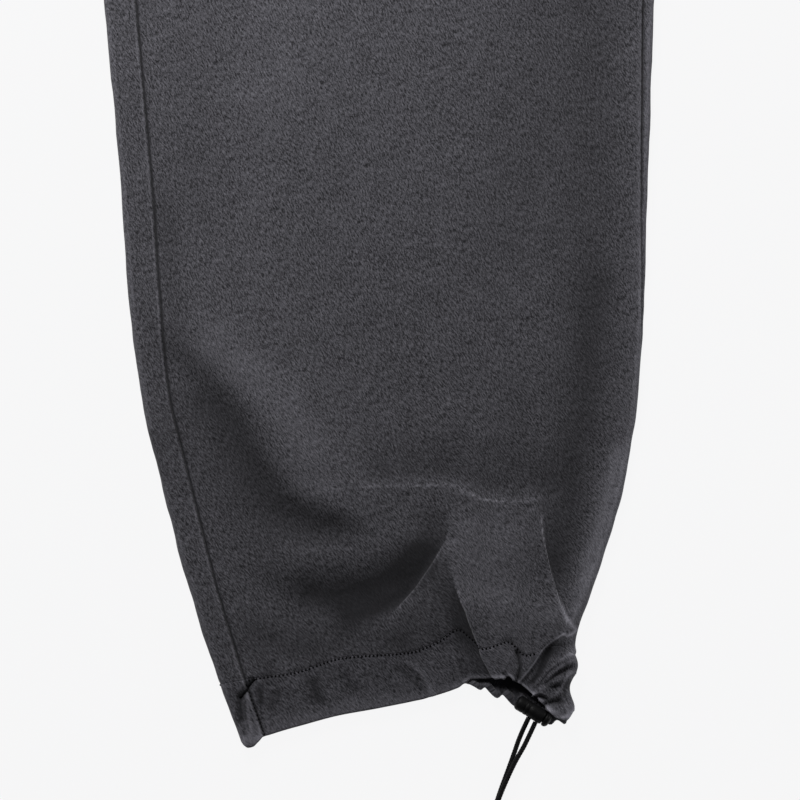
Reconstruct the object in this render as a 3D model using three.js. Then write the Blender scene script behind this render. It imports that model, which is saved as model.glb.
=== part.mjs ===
// Cargo pants of thick brushed sweat cloth, laid flat with the front up. Millimetres, +Z up.
// +X is the wearer's left leg, +Y runs to the waist, and the underside rests on Z = 0.
// Each leg is a flattened tube of two panels. The back panel is the wider one and turns
// round both edges on to the front, where the seams lie. A drawcord in the hem casing is
// pulled tight at the outseam, which gathers the cloth there and heaves up a broad fold.
//
// A leg is described in its own plane: x is the distance outwards from the middle of the
// garment, y the height above the lowest point of the hem, and z the height off the table.

import * as THREE from 'three';
import { mergeVertices } from 'three/addons/utils/BufferGeometryUtils.js';

// ---- driving dimensions ----
const CLOTH = 2;                 // panel cloth
const CASING_CLOTH = 2.4;        // turned hem and waistband, two plies pressed together
const SEAM_GAP = 0.3;            // between pieces that are sewn together
const CAVITY = 3.8;              // highest air space between the two layers of a leg
const LEAST_AIR = 0.3;           // lowest air space between them
const FLAT_HEIGHT = 6;           // top of the cloth where both layers lie flat
const HEM_EDGE_HEIGHT = 7.4;     // the folded edges puff up on the lower leg
const PUFF = 18;                 // how far in from an edge the puff dies away
const GATHER_EDGE_HEIGHT = 11;   // outer edge of the tube where the cord gathers it
const CROTCH_HEIGHT = 740;
const WAIST_SEAM_HEIGHT = 1000;
const WAISTBAND_WIDTH = 45;

// Edges of the flattened leg, and how far the back panel turns round each edge. A turn
// below 0 means that the seam has rolled under the leg instead.
const LEG_SECTIONS = [
  { y: 0,    inner: 121,   outer: 316.4, inseamTurn: 16, outseamTurn: -8 },
  { y: 41,   inner: 106.4, outer: 319,   inseamTurn: 17, outseamTurn: -8 },
  { y: 65,   inner: 98,    outer: 320.4, inseamTurn: 18, outseamTurn: -8 },
  { y: 89,   inner: 90.8,  outer: 327.8, inseamTurn: 18, outseamTurn: -7 },
  { y: 113,  inner: 83.6,  outer: 336.2, inseamTurn: 19, outseamTurn: -6 },
  { y: 137,  inner: 77.6,  outer: 344,   inseamTurn: 19, outseamTurn: -5 },
  { y: 161,  inner: 71.6,  outer: 350,   inseamTurn: 19, outseamTurn: -3 },
  { y: 209,  inner: 60.2,  outer: 357.2, inseamTurn: 19, outseamTurn: 0 },
  { y: 269,  inner: 52.4,  outer: 361.4, inseamTurn: 21, outseamTurn: 3.5 },
  { y: 329,  inner: 48.2,  outer: 363.2, inseamTurn: 21, outseamTurn: 5.6 },
  { y: 449,  inner: 37.4,  outer: 367.4, inseamTurn: 21, outseamTurn: 8.5 },
  { y: 560,  inner: 27,    outer: 371,   inseamTurn: 17, outseamTurn: 9 },
  { y: 680,  inner: 13,    outer: 372,   inseamTurn: 8,  outseamTurn: 9 },
  { y: 740,  inner: 0.15,  outer: 369,   inseamTurn: 1,  outseamTurn: 9 },
  { y: 800,  inner: 0.15,  outer: 359,   inseamTurn: 1,  outseamTurn: 8 },
  { y: 860,  inner: 0.15,  outer: 341,   inseamTurn: 1,  outseamTurn: 8 },
  { y: 920,  inner: 0.15,  outer: 305,   inseamTurn: 1,  outseamTurn: 7 },
  { y: 970,  inner: 0.15,  outer: 254,   inseamTurn: 1,  outseamTurn: 7 },
  { y: 1000, inner: 0.15,  outer: 208,   inseamTurn: 1,  outseamTurn: 7 },
  { y: 1045, inner: 0.15,  outer: 203,   inseamTurn: 1,  outseamTurn: 7 },
];

// Rows of the panels' grid, from the casing's stitching to the waist.
const ROW_ZONES = [
  { to: 162, rows: 13 },
  { to: 300, rows: 4 },
  { to: CROTCH_HEIGHT, rows: 6 },
  { to: WAIST_SEAM_HEIGHT, rows: 7 },
];

// The casing, across the leg from its inner edge (0) to its outer edge (1): the height of
// the stitching, of the hem's edge on the front, and of the hem's edge on the back.
const CASING_TOP = [
  { across: 0, y: 38.4 },
  { across: 0.1, y: 42 },
  { across: 0.21, y: 45.6 },
  { across: 0.35, y: 54.6 },
  { across: 0.53, y: 57.6 },
  { across: 0.61, y: 63.6 },
  { across: 0.67, y: 71.5 },
  { across: 0.74, y: 60 },
  { across: 0.81, y: 64 },
  { across: 0.86, y: 56 },
  { across: 0.95, y: 61.5 },
  { across: 1, y: 55.8 },
];
const FRONT_HEM = [
  { across: 0, y: 1.2 },
  { across: 0.06, y: 4.8 },
  { across: 0.15, y: 12 },
  { across: 0.29, y: 19.2 },
  { across: 0.42, y: 24 },
  { across: 0.55, y: 29.6 },
  { across: 0.65, y: 36 },
  { across: 0.69, y: 41 },
  { across: 0.77, y: 42.6 },
  { across: 0.8, y: 45 },
  { across: 0.84, y: 38.4 },
  { across: 0.91, y: 27 },
  { across: 0.98, y: 20.4 },
  { across: 1, y: 21.6 },
];
const BACK_HEM = [
  { across: 0, y: 1.2 },
  { across: 0.06, y: 6.5 },
  { across: 0.29, y: 21 },
  { across: 0.55, y: 31.5 },
  { across: 0.67, y: 38.5 },
  { across: 0.74, y: 33.5 },
  { across: 0.82, y: 26.5 },
  { across: 0.89, y: 18 },
  { across: 0.96, y: 14.5 },
  { across: 1, y: 21.6 },
];
const SCALLOP_FROM = 0.68;       // where the back hem begins to ruffle, across the leg
const SCALLOP_DEPTH = 2;
const SCALLOPS = 6;
const CASING_ROWS = 4;
const GATHER_STEP = 5;           // column spacing in the gathered part of the casing
const PLAIN_STEP = 14;           // and in its plain part

// Soft relief of the front: each row is a ridge (height above 0) or a trough (below 0)
// along a line of points, fading out over its reach.
const SOFT_FOLDS = [
  { name: 'knee trough', height: -1.5, reach: 24, line: [[89, 227], [116, 191], [137, 155], [182, 133]] },
  { name: 'knee ridge', height: 1.5, reach: 24, line: [[135, 215], [152, 183], [170, 161]] },
  { name: 'shin trough', height: -1.5, reach: 22, line: [[150, 88], [192, 100], [228, 105]] },
  { name: 'shin ridge', height: 1.4, reach: 26, line: [[120, 100], [165, 122], [205, 128]] },
  { name: 'outer trough', height: -1.3, reach: 18, line: [[338, 390], [336, 240], [318, 118]] },
  { name: 'outer ridge', height: 1.2, reach: 26, line: [[300, 300], [306, 200]] },
];

// The heaved fold: its upper crease, its two side edges and the edge of the second pleat
// that lies over it. Cloth is three plies deep within it and five under the pleat.
const FOLD_CREASE = [
  { x: 163, y: 155 }, { x: 185, y: 156.6 }, { x: 220, y: 157.8 }, { x: 241, y: 158.4 },
  { x: 254, y: 154.8 }, { x: 264, y: 149.6 }, { x: 282, y: 148.4 }, { x: 299, y: 150 },
];
const FOLD_OUTER_EDGE = [
  { y: 36, x: 284 }, { y: 41.4, x: 288.2 }, { y: 49.2, x: 295.4 }, { y: 58.8, x: 300.2 },
  { y: 66, x: 307 }, { y: 72, x: 315 }, { y: 90.6, x: 310.4 }, { y: 104.4, x: 305.6 },
  { y: 123, x: 302 }, { y: 144.6, x: 300.2 },
];
const FOLD_INNER_EDGE = [
  { y: 60, x: 196 }, { y: 75, x: 205 }, { y: 86.4, x: 215 }, { y: 96.6, x: 226.4 },
  { y: 106.8, x: 232.4 }, { y: 127, x: 242.6 }, { y: 158, x: 205 },
];
const PLEAT_EDGE = [
  { y: 38, x: 273 }, { y: 49.2, x: 266.6 }, { y: 60.6, x: 261.8 }, { y: 74.4, x: 255.2 },
  { y: 88.2, x: 249.2 }, { y: 105, x: 246 },
];
const FOLD_RISE = 4.6;
const PLEAT_RISE = 3.4;
const STEP_WIDTH = 9;            // plan width of a folded edge

// Where the cord pulls the hem together, and the small folds that radiate from there.
const GATHER = { x: 285, y: 38, reach: 46, folds: 11, rise: 1.9 };

// Cargo pocket and flap, flat on the outer thigh.
const POCKET = { fromSeam: 18, width: 165, bottom: 500, top: 690, corner: 16, thick: 2.2 };
const FLAP = { bottom: 642, top: 708, overhang: 4, thick: 2.2 };

// Cord lock at the gathered hem: a barrel with its button at one end.
const LOCK = { x: 291.8, y: 24, angle: -32, radius: 4.6, length: 19, from: -8, bevel: 1 };
const BUTTON = { radius: 3.7, length: 4, bevel: 0.8 };
const CORD_RADIUS = 1.5;
const CORD_SIDES = 8;
const CORD_STEPS = 18;
const CORD_EXITS = [3.4, 8.2];   // along the barrel, from the middle of its cord holes

// Routes of the two free ends of the drawcord, after they leave the lock.
const LOWER_STRAND = [
  [289.3, 12, 5.4], [286.3, 4.5, 2.2], [283.2, -4.5, 1.55], [279.6, -14.5, 1.55], [275.9, -24.5, 1.55],
  [272.5, -34.5, 1.55], [268.6, -46, 1.55], [263.5, -58, 1.55], [257, -70, 1.55], [251.2, -80.5, 1.55],
  [246, -88.9, 2.6],
];
const UPPER_STRAND = [
  [293.4, 9.4, 6.2], [289.4, 1, 5.2], [284.6, -7.5, 4.9], [279.9, -17.2, 4.95], [275.9, -26.5, 4.95],
  [272.1, -36, 4.95], [266.2, -47.4, 4.5], [257.6, -59.5, 2.2], [249.6, -70, 1.55], [244, -80.2, 1.55],
  [241.2, -88.5, 2.6],
];
const KNOT = { x: 243.6, y: -93.9, z: 3.6, length: 10, width: 8.6, height: 6.8 };

// The two legs: the folds of the right one lie a little lower and flatter.
const LEGS = [
  { name: 'left', side: 1, foldShift: 0, foldLift: 1 },
  { name: 'right', side: -1, foldShift: 5, foldLift: 0.86 },
];

// ---- finishes ----
const clothFinish = new THREE.MeshStandardMaterial({ color: 0x45454a, roughness: 0.95, metalness: 0 });
const casingFinish = new THREE.MeshStandardMaterial({ color: 0x414146, roughness: 0.95, metalness: 0 });
const cordFinish = new THREE.MeshStandardMaterial({ color: 0x121213, roughness: 0.8, metalness: 0 });
const lockFinish = new THREE.MeshStandardMaterial({ color: 0x0e0e0f, roughness: 0.45, metalness: 0 });

// ---- small helpers ----

// The value of column `want` in `rows` where column `by` is `at`, on smooth monotone arcs.
function lookUp(rows, by, want, at) {
  const last = rows.length - 1;
  if (at <= rows[0][by]) return rows[0][want];
  if (at >= rows[last][by]) return rows[last][want];
  const k = rows.findIndex((row) => row[by] > at) - 1;
  const slope = (i) => (rows[i + 1][want] - rows[i][want]) / (rows[i + 1][by] - rows[i][by]);
  const tangent = (i) => {
    if (i === 0) return slope(0);
    if (i === last) return slope(last - 1);
    const [before, after] = [slope(i - 1), slope(i)];
    return before * after > 0 ? 2 * before * after / (before + after) : 0;
  };
  const span = rows[k + 1][by] - rows[k][by];
  const t = (at - rows[k][by]) / span;
  const rise = rows[k + 1][want] - rows[k][want];
  return rows[k][want] + rise * t * t * (3 - 2 * t)
    + span * t * (1 - t) * (tangent(k) * (1 - t) - tangent(k + 1) * t);
}

const mix = (a, b, t) => a + (b - a) * t;
const smooth = THREE.MathUtils.smoothstep;
const bell = (distance, reach) => Math.exp(-((distance / reach) ** 2) * 4);

// Distance from (x, y) to a line of points.
function distanceToLine(x, y, line) {
  let least = Infinity;
  for (let i = 1; i < line.length; i++) {
    const [ax, ay] = line[i - 1];
    const [dx, dy] = [line[i][0] - ax, line[i][1] - ay];
    const t = THREE.MathUtils.clamp(((x - ax) * dx + (y - ay) * dy) / (dx * dx + dy * dy), 0, 1);
    least = Math.min(least, Math.hypot(x - ax - t * dx, y - ay - t * dy));
  }
  return least;
}

// ---- the leg's form ----

const section = (y, column) => lookUp(LEG_SECTIONS, 'y', column, y);
const innerEdgeHeight = (y) => mix(HEM_EDGE_HEIGHT, FLAT_HEIGHT, smooth(y, 380, 480));
const outerEdgeHeight = (y) => mix(GATHER_EDGE_HEIGHT, innerEdgeHeight(y), smooth(y, 62, 118));

// Height of the heaved fold and its pleat at a place on the front.
function foldRise(x, y, leg) {
  const at = y + leg.foldShift;
  const half = STEP_WIDTH / 2;
  const below = smooth(lookUp(FOLD_CREASE, 'x', 'y', x) - at, -half, half);
  const softness = mix(half, 26, smooth(at, 118, 140));
  const inside = smooth(x - lookUp(FOLD_INNER_EDGE, 'y', 'x', at), -softness, softness);
  const within = smooth(lookUp(FOLD_OUTER_EDGE, 'y', 'x', at) - x, -half, half);
  const lower = smooth(at, 18, 60);
  const pleat = smooth(x - lookUp(PLEAT_EDGE, 'y', 'x', at), -half, half) * (1 - smooth(at, 84, 112));
  return leg.foldLift * within * (FOLD_RISE * below * inside * lower + PLEAT_RISE * pleat);
}

// Small folds that radiate from the pull of the cord.
function gatherRise(x, y) {
  const [dx, dy] = [x - GATHER.x, y - GATHER.y];
  const distance = Math.hypot(dx, dy);
  const turn = Math.atan2(dy, dx);
  const wave = Math.cos(GATHER.folds * turn + 1.3 * Math.sin(2 * turn + 0.6));
  const fade = smooth(distance, 3, 14) * (1 - smooth(distance, GATHER.reach / 2, GATHER.reach));
  return GATHER.rise * wave * fade;
}

// Waist gathers, run out over the hip.
function waistRise(x, y) {
  const reach = smooth(y, WAIST_SEAM_HEIGHT - 130, WAIST_SEAM_HEIGHT);
  return 0.9 * reach * Math.cos(x * 2 * Math.PI / 42);
}

// Top of the front layer at (x, y), on a tube whose rolled edges start at these places.
function frontHeight(x, y, tube, leg) {
  const fromInner = x - tube.innerTop;
  const fromOuter = tube.outerTop - x;
  const edges = tube.innerRise * Math.exp(-fromInner / PUFF) + tube.outerRise * Math.exp(-fromOuter / PUFF);
  const clear = smooth(fromInner, 0, 12) * smooth(fromOuter, 0, 10);
  let relief = foldRise(x, y, leg) + gatherRise(x, y) + waistRise(x, y);
  for (const fold of SOFT_FOLDS) {
    relief += fold.height * bell(distanceToLine(x, y + leg.foldShift, fold.line), fold.reach);
  }
  return Math.max(FLAT_HEIGHT + edges + clear * relief, 2 * CASING_CLOTH + LEAST_AIR);
}

// A cross-section of the flattened tube. Places on it are given as the distance along its
// outer face, from the inner edge over the top to the outer edge and back underneath.
// yTop and yBottom give a point's height on the leg from its share of the width.
function tubeAt(inner, outer, innerHeight, outerHeight, yTop, yBottom, cloth, leg) {
  const [innerRadius, outerRadius] = [innerHeight / 2, outerHeight / 2];
  const tube = {
    innerTop: inner + innerRadius,
    outerTop: outer - outerRadius,
    innerRise: innerHeight - FLAT_HEIGHT,
    outerRise: outerHeight - FLAT_HEIGHT,
  };
  const [innerArc, outerArc] = [innerRadius * Math.PI / 2, outerRadius * Math.PI / 2];
  const straight = tube.outerTop - tube.innerTop;
  const half = innerArc + straight + outerArc;

  // A point of the rolled edge, turned from the edge's outermost point towards the top.
  const rolled = (centre, sign, radius, turn) => {
    const hollow = Math.min(radius - cloth, CAVITY / 2);
    const place = (r, middle) => [centre - sign * r * Math.cos(turn), middle + r * Math.sin(turn)];
    return [place(radius, radius), place(hollow, cloth + hollow)];
  };

  const pointAt = (distance) => {
    let [outside, inside] = [];
    let top = true;
    if (distance < innerArc) {
      [outside, inside] = rolled(tube.innerTop, 1, innerRadius, distance / innerRadius);
      top = distance >= 0;
    } else if (distance <= innerArc + straight) {
      const x = tube.innerTop + distance - innerArc;
      const z = frontHeight(x, yTop((x - inner) / (outer - inner)), tube, leg);
      [outside, inside] = [[x, z], [x, Math.max(Math.min(z - cloth, cloth + CAVITY), cloth + LEAST_AIR)]];
    } else if (distance < half + outerArc) {
      [outside, inside] = rolled(tube.outerTop, -1, outerRadius, (half - distance) / outerRadius);
      top = distance <= half;
    } else if (distance < half + outerArc + straight) {
      const x = tube.outerTop - (distance - half - outerArc);
      [outside, inside] = [[x, 0], [x, cloth]];
      top = false;
    } else {
      [outside, inside] = rolled(tube.innerTop, 1, innerRadius, (distance - 2 * half) / innerRadius);
      top = distance >= 2 * half;
    }
    const share = THREE.MathUtils.clamp((outside[0] - inner) / (outer - inner), 0, 1);
    const y = top ? yTop(share) : yBottom(share);
    return [outside, inside].map(([x, z]) => new THREE.Vector3(leg.side * x, y, z));
  };
  return { pointAt, half, innerArc, outerArc, straight };
}

// Distances round a section for each panel's columns: the front panel spans the top, and
// the back panel goes under it and round both edges.
function panelColumns(tube, inseamTurn, outseamTurn) {
  const seam = SEAM_GAP / 2;
  const [inseam, outseam] = [inseamTurn, tube.half - outseamTurn];
  const rollTop = tube.half - Math.max(outseamTurn, tube.outerArc) - 2;
  const rollBottom = Math.max(tube.half + tube.outerArc, outseam) + 2;
  const innerBottom = 2 * tube.half - tube.innerArc - 2;
  return {
    front: runs([[inseam + seam, 0], [rollTop, 17], [outseam - seam, 4]]),
    back: runs([[outseam + seam, 0], [rollBottom, 4], [innerBottom, 3], [2 * tube.half + inseam - seam, 7]]),
  };
}

// Even steps through a list of [place, steps to it].
function runs(stops) {
  const places = [stops[0][0]];
  for (let k = 1; k < stops.length; k++) {
    const [to, steps] = stops[k];
    const from = stops[k - 1][0];
    for (let i = 1; i <= steps; i++) places.push(mix(from, to, crowd(i / steps, steps)));
  }
  return places;
}

// The long run across the front is closer set towards the outseam, where the folds are.
const crowd = (t, steps) => (steps > 10 ? t + 0.1 * Math.sin(Math.PI * t) : t);

// ---- closed solids from grids of points ----

// A wall between two grids of points, outside[row][column] and inside[row][column]. A
// looped wall joins its last column to its first.
function wall(outside, inside, looped) {
  const [rows, columns] = [outside.length, outside[0].length];
  const points = [...outside.flat(), ...inside.flat()];
  const outer = (j, i) => j * columns + i % columns;
  const inner = (j, i) => rows * columns + outer(j, i);
  const faces = [];
  const quad = (a, b, c, d) => faces.push(a, b, c, a, c, d);
  const spans = looped ? columns : columns - 1;
  for (let i = 0; i < spans; i++) {
    for (let j = 0; j < rows - 1; j++) {
      quad(outer(j, i), outer(j, i + 1), outer(j + 1, i + 1), outer(j + 1, i));
      quad(inner(j, i), inner(j + 1, i), inner(j + 1, i + 1), inner(j, i + 1));
    }
    quad(inner(0, i), inner(0, i + 1), outer(0, i + 1), outer(0, i));
    quad(outer(rows - 1, i), outer(rows - 1, i + 1), inner(rows - 1, i + 1), inner(rows - 1, i));
  }
  for (let j = 0; j < rows - 1 && !looped; j++) {
    quad(outer(j, 0), outer(j + 1, 0), inner(j + 1, 0), inner(j, 0));
    quad(outer(j, spans), inner(j, spans), inner(j + 1, spans), outer(j + 1, spans));
  }
  return facingOut(points, faces);
}

// A geometry of these faces, turned round where they enclose a negative volume.
function facingOut(points, faces) {
  let volume = 0;
  for (let f = 0; f < faces.length; f += 3) {
    const [a, b, c] = [points[faces[f]], points[faces[f + 1]], points[faces[f + 2]]];
    volume += a.dot(new THREE.Vector3().crossVectors(b, c));
  }
  const geometry = new THREE.BufferGeometry().setFromPoints(points);
  geometry.setIndex(volume < 0 ? faces.toReversed() : faces);
  return geometry;
}

const garment = new THREE.Group();

function add(name, geometry, finish, parent = garment) {
  const mesh = new THREE.Mesh(geometry, finish);
  mesh.name = name;
  parent.add(mesh);
  return mesh;
}

// ---- leg panels ----

function rowShares() {
  const start = CASING_TOP[0].y;
  const heights = [start];
  for (const { to, rows } of ROW_ZONES) {
    const from = heights.at(-1);
    for (let i = 1; i <= rows; i++) heights.push(mix(from, to, i / rows));
  }
  return heights.map((y) => (y - start) / (WAIST_SEAM_HEIGHT - start));
}

// The stitching of the casing runs level across the back of the leg.
const casingTopFront = (across) => lookUp(CASING_TOP, 'across', 'y', across);
const casingTopBack = (across) => mix(CASING_TOP[0].y, CASING_TOP.at(-1).y, across);

function legPanels(leg) {
  const grids = { front: { outside: [], inside: [] }, back: { outside: [], inside: [] } };
  for (const share of rowShares()) {
    const lift = (start) => mix(start + SEAM_GAP / 2, WAIST_SEAM_HEIGHT - SEAM_GAP / 2, share);
    const [yInner, yOuter] = [lift(casingTopBack(0)), lift(casingTopBack(1))];
    const tube = tubeAt(
      section(yInner, 'inner'), section(yOuter, 'outer'), innerEdgeHeight(yInner), outerEdgeHeight(yOuter),
      (across) => lift(casingTopFront(across)), (across) => lift(casingTopBack(across)), CLOTH, leg,
    );
    const columns = panelColumns(tube, section(yInner, 'inseamTurn'), section(yOuter, 'outseamTurn'));
    for (const part of ['front', 'back']) {
      const pairs = columns[part].map(tube.pointAt);
      grids[part].outside.push(pairs.map(([outside]) => outside));
      grids[part].inside.push(pairs.map(([, inside]) => inside));
    }
  }
  return grids;
}

// ---- hem casing ----

function backHem(across) {
  const run = (across - SCALLOP_FROM) / (1 - SCALLOP_FROM);
  const fade = smooth(run, 0, 0.12) * smooth(1 - run, 0, 0.2);
  const ruffle = SCALLOP_DEPTH * fade * Math.cos(run * SCALLOPS * 2 * Math.PI);
  return lookUp(BACK_HEM, 'across', 'y', across) + ruffle;
}

// The casing takes its first row from the panels' lower edges, point for point, and each
// of their spans is cut into short steps for the gathers.
function hemCasing(leg, grids) {
  const outside = [];
  const inside = [];
  for (let row = 0; row <= CASING_ROWS; row++) {
    const drop = row / CASING_ROWS;
    const yTop = (across) => mix(casingTopFront(across), lookUp(FRONT_HEM, 'across', 'y', across), drop);
    const yBottom = (across) => mix(casingTopBack(across), backHem(across), drop);
    const [yInner, yOuter] = [yTop(0), yTop(1)];
    const lobe = 2 * Math.sin(drop * 2.5 * Math.PI);
    const tube = tubeAt(
      section(yInner, 'inner'), section(yOuter, 'outer') + lobe, innerEdgeHeight(yInner),
      outerEdgeHeight(yOuter), yTop, yBottom, CASING_CLOTH, leg,
    );
    const columns = panelColumns(tube, section(yInner, 'inseamTurn'), section(yOuter, 'outseamTurn'));
    const [rowOutside, rowInside] = [[], []];
    for (const part of ['front', 'back']) {
      const edge = grids[part].outside[0];
      const edgeInside = grids[part].inside[0];
      for (let i = 0; i + 1 < edge.length; i++) {
        const middle = (Math.abs(edge[i].x) + Math.abs(edge[i + 1].x)) / 2;
        const step = middle > GATHER.x - GATHER.reach ? GATHER_STEP : PLAIN_STEP;
        const cuts = Math.max(1, Math.round(edge[i].distanceTo(edge[i + 1]) / step));
        for (let cut = 0; cut < cuts; cut++) {
          const t = cut / cuts;
          const [outer, inner] = row === 0
            ? [edge[i].clone().lerp(edge[i + 1], t), edgeInside[i].clone().lerp(edgeInside[i + 1], t)]
            : tube.pointAt(mix(columns[part][i], columns[part][i + 1], t));
          if (row === 0) [outer, inner].forEach((point) => { point.y -= SEAM_GAP; });
          rowOutside.push(outer);
          rowInside.push(inner);
        }
      }
    }
    outside.push(rowOutside);
    inside.push(rowInside);
  }
  add(`hem_casing_${leg.name}`, wall(outside, inside, true), casingFinish);
}

// ---- waistband ----

// The elastic waistband takes its lower row from the upper edges of all four panels.
function waistband(panels) {
  const ring = (layer) => {
    const top = (leg, part) => panels[leg][part][layer].at(-1);
    return [
      ...top('left', 'front'), ...top('left', 'back'),
      ...top('right', 'back').toReversed(), ...top('right', 'front').toReversed(),
    ];
  };
  const [outside, inside] = [[], []];
  const [lower, upper] = [WAIST_SEAM_HEIGHT + SEAM_GAP / 2, WAIST_SEAM_HEIGHT + WAISTBAND_WIDTH];
  const narrowing = section(upper, 'outer') / section(lower, 'outer');
  for (const t of [0, 0.5, 1]) {
    const place = (point) => new THREE.Vector3(
      point.x * mix(1, narrowing, t), mix(lower, upper, t), point.z,
    );
    outside.push(ring('outside').map(place));
    inside.push(ring('inside').map(place));
  }
  add('waistband', wall(outside, inside, true), casingFinish);
}

// ---- cargo pocket ----

// A patch pocket with rounded lower corners, and the flap that closes it.
function cargoPocket(leg) {
  const middle = (POCKET.bottom + POCKET.top) / 2;
  const lean = Math.atan2(
    section(POCKET.top, 'outer') - section(POCKET.bottom, 'outer'), POCKET.top - POCKET.bottom,
  );
  const holder = new THREE.Group();
  holder.position.set(leg.side * (section(middle, 'outer') - POCKET.fromSeam - POCKET.width / 2), middle, 0);
  holder.rotation.z = -leg.side * lean;
  garment.add(holder);

  const [halfWidth, halfHeight, corner] = [POCKET.width / 2, (POCKET.top - POCKET.bottom) / 2, POCKET.corner];
  const patch = new THREE.Shape();
  patch.moveTo(-halfWidth, halfHeight);
  patch.lineTo(-halfWidth, -halfHeight + corner);
  patch.absarc(-halfWidth + corner, -halfHeight + corner, corner, Math.PI, 1.5 * Math.PI);
  patch.lineTo(halfWidth - corner, -halfHeight);
  patch.absarc(halfWidth - corner, -halfHeight + corner, corner, 1.5 * Math.PI, 2 * Math.PI);
  patch.lineTo(halfWidth, halfHeight);
  const pocketBase = FLAT_HEIGHT + SEAM_GAP;
  const pocket = add(`cargo_pocket_${leg.name}`, closed(new THREE.ExtrudeGeometry(patch, {
    depth: POCKET.thick, bevelEnabled: false, curveSegments: 4,
  })), clothFinish, holder);
  pocket.position.z = pocketBase;

  // The flap's side view, in height up the leg and height off the table: it lies on the
  // pocket and comes down to the panel above the pocket's mouth.
  const flapBase = pocketBase + POCKET.thick + SEAM_GAP;
  const [low, high] = [FLAP.bottom - middle, FLAP.top - middle];
  const mouth = POCKET.top - middle;
  const profile = new THREE.Shape([
    new THREE.Vector2(low, flapBase),
    new THREE.Vector2(mouth + 2, flapBase),
    new THREE.Vector2(mouth + 7, pocketBase),
    new THREE.Vector2(high, pocketBase),
    new THREE.Vector2(high, pocketBase + FLAP.thick),
    new THREE.Vector2(mouth + 9, pocketBase + FLAP.thick),
    new THREE.Vector2(mouth + 3, flapBase + FLAP.thick),
    new THREE.Vector2(low, flapBase + FLAP.thick),
  ]);
  const flapWidth = POCKET.width + 2 * FLAP.overhang;
  const flap = add(`pocket_flap_${leg.name}`, closed(new THREE.ExtrudeGeometry(profile, {
    depth: flapWidth, bevelEnabled: false,
  })), clothFinish, holder);
  // Turned so that the profile's first axis runs up the leg and the extrusion across it.
  flap.rotation.set(Math.PI / 2, Math.PI / 2, 0);
  flap.position.x = -flapWidth / 2;
}

// The same geometry with its shared corners merged, so that it is one closed body.
function closed(geometry) {
  geometry.deleteAttribute('normal');
  geometry.deleteAttribute('uv');
  return mergeVertices(geometry, 1e-4);
}

// ---- cord lock and drawcord ----

// A round bar with bevelled ends, along +X from its left end.
function bar(radius, length, bevel) {
  const profile = [
    [0, 0], [radius - bevel, 0], [radius, bevel],
    [radius, length - bevel], [radius - bevel, length], [0, length],
  ].map(([r, along]) => new THREE.Vector2(r, along));
  return closed(new THREE.LatheGeometry(profile, 20)).rotateZ(-Math.PI / 2);
}

function cordLock(leg) {
  const holder = new THREE.Group();
  holder.position.set(leg.side * LOCK.x, LOCK.y, CASING_CLOTH + SEAM_GAP + LOCK.radius);
  holder.rotation.z = THREE.MathUtils.degToRad(leg.side > 0 ? LOCK.angle : 180 - LOCK.angle);
  garment.add(holder);
  const barrel = bar(LOCK.radius, LOCK.length, LOCK.bevel);
  const body = add(`cord_lock_body_${leg.name}`, barrel, lockFinish, holder);
  body.position.x = LOCK.from;
  const button = add(
    `cord_lock_button_${leg.name}`, bar(BUTTON.radius, BUTTON.length, BUTTON.bevel), lockFinish, holder,
  );
  button.position.x = LOCK.from + LOCK.length + SEAM_GAP;
}

// Where a strand leaves the side of the barrel that faces away from the hem.
function cordExit(along) {
  const turn = THREE.MathUtils.degToRad(LOCK.angle);
  const out = LOCK.radius + SEAM_GAP;
  return [
    LOCK.x + along * Math.cos(turn) + out * Math.sin(turn),
    LOCK.y + along * Math.sin(turn) - out * Math.cos(turn),
    CASING_CLOTH + SEAM_GAP + LOCK.radius,
  ];
}

function strand(name, leg, along, route) {
  const points = [cordExit(along), ...route].map(([x, y, z]) => new THREE.Vector3(leg.side * x, y, z));
  const circle = new THREE.Shape();
  for (let k = 0; k < CORD_SIDES; k++) {
    const turn = (k + 0.5) * 2 * Math.PI / CORD_SIDES;
    const corner = [CORD_RADIUS * Math.cos(turn), CORD_RADIUS * Math.sin(turn)];
    if (k === 0) circle.moveTo(...corner);
    else circle.lineTo(...corner);
  }
  circle.closePath();
  const tube = new THREE.ExtrudeGeometry(circle, {
    steps: CORD_STEPS, extrudePath: new THREE.CatmullRomCurve3(points),
  });
  return add(`drawcord_${name}_${leg.name}`, closed(tube), cordFinish);
}

function drawcord(leg) {
  const knot = closed(new THREE.SphereGeometry(0.5, 14, 9));
  knot.rotateX(Math.PI / 2).scale(KNOT.width, KNOT.length, KNOT.height);
  const pieces = [
    strand('lower', leg, CORD_EXITS[0], LOWER_STRAND),
    strand('upper', leg, CORD_EXITS[1], UPPER_STRAND),
    add(`drawcord_knot_${leg.name}`, knot, cordFinish),
  ];
  pieces[2].position.set(leg.side * KNOT.x, KNOT.y, KNOT.z);
  return pieces;
}

// ---- the garment ----

const panels = {};
const cords = [];
for (const leg of LEGS) {
  const grids = legPanels(leg);
  panels[leg.name] = grids;
  for (const part of ['front', 'back']) {
    add(`${part}_panel_${leg.name}`, wall(grids[part].outside, grids[part].inside, false), clothFinish);
  }
  hemCasing(leg, grids);
  cargoPocket(leg);
  cordLock(leg);
  cords.push(...drawcord(leg));
}
waistband(panels);

// The origin is under the middle of the cloth, measured without the loose cords.
garment.updateMatrixWorld(true);
const cloth = new THREE.Box3();
for (const piece of garment.children.filter((child) => !cords.includes(child))) cloth.expandByObject(piece);
garment.position.y = -(cloth.min.y + cloth.max.y) / 2;
garment.updateMatrixWorld(true);

export default garment;
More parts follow.
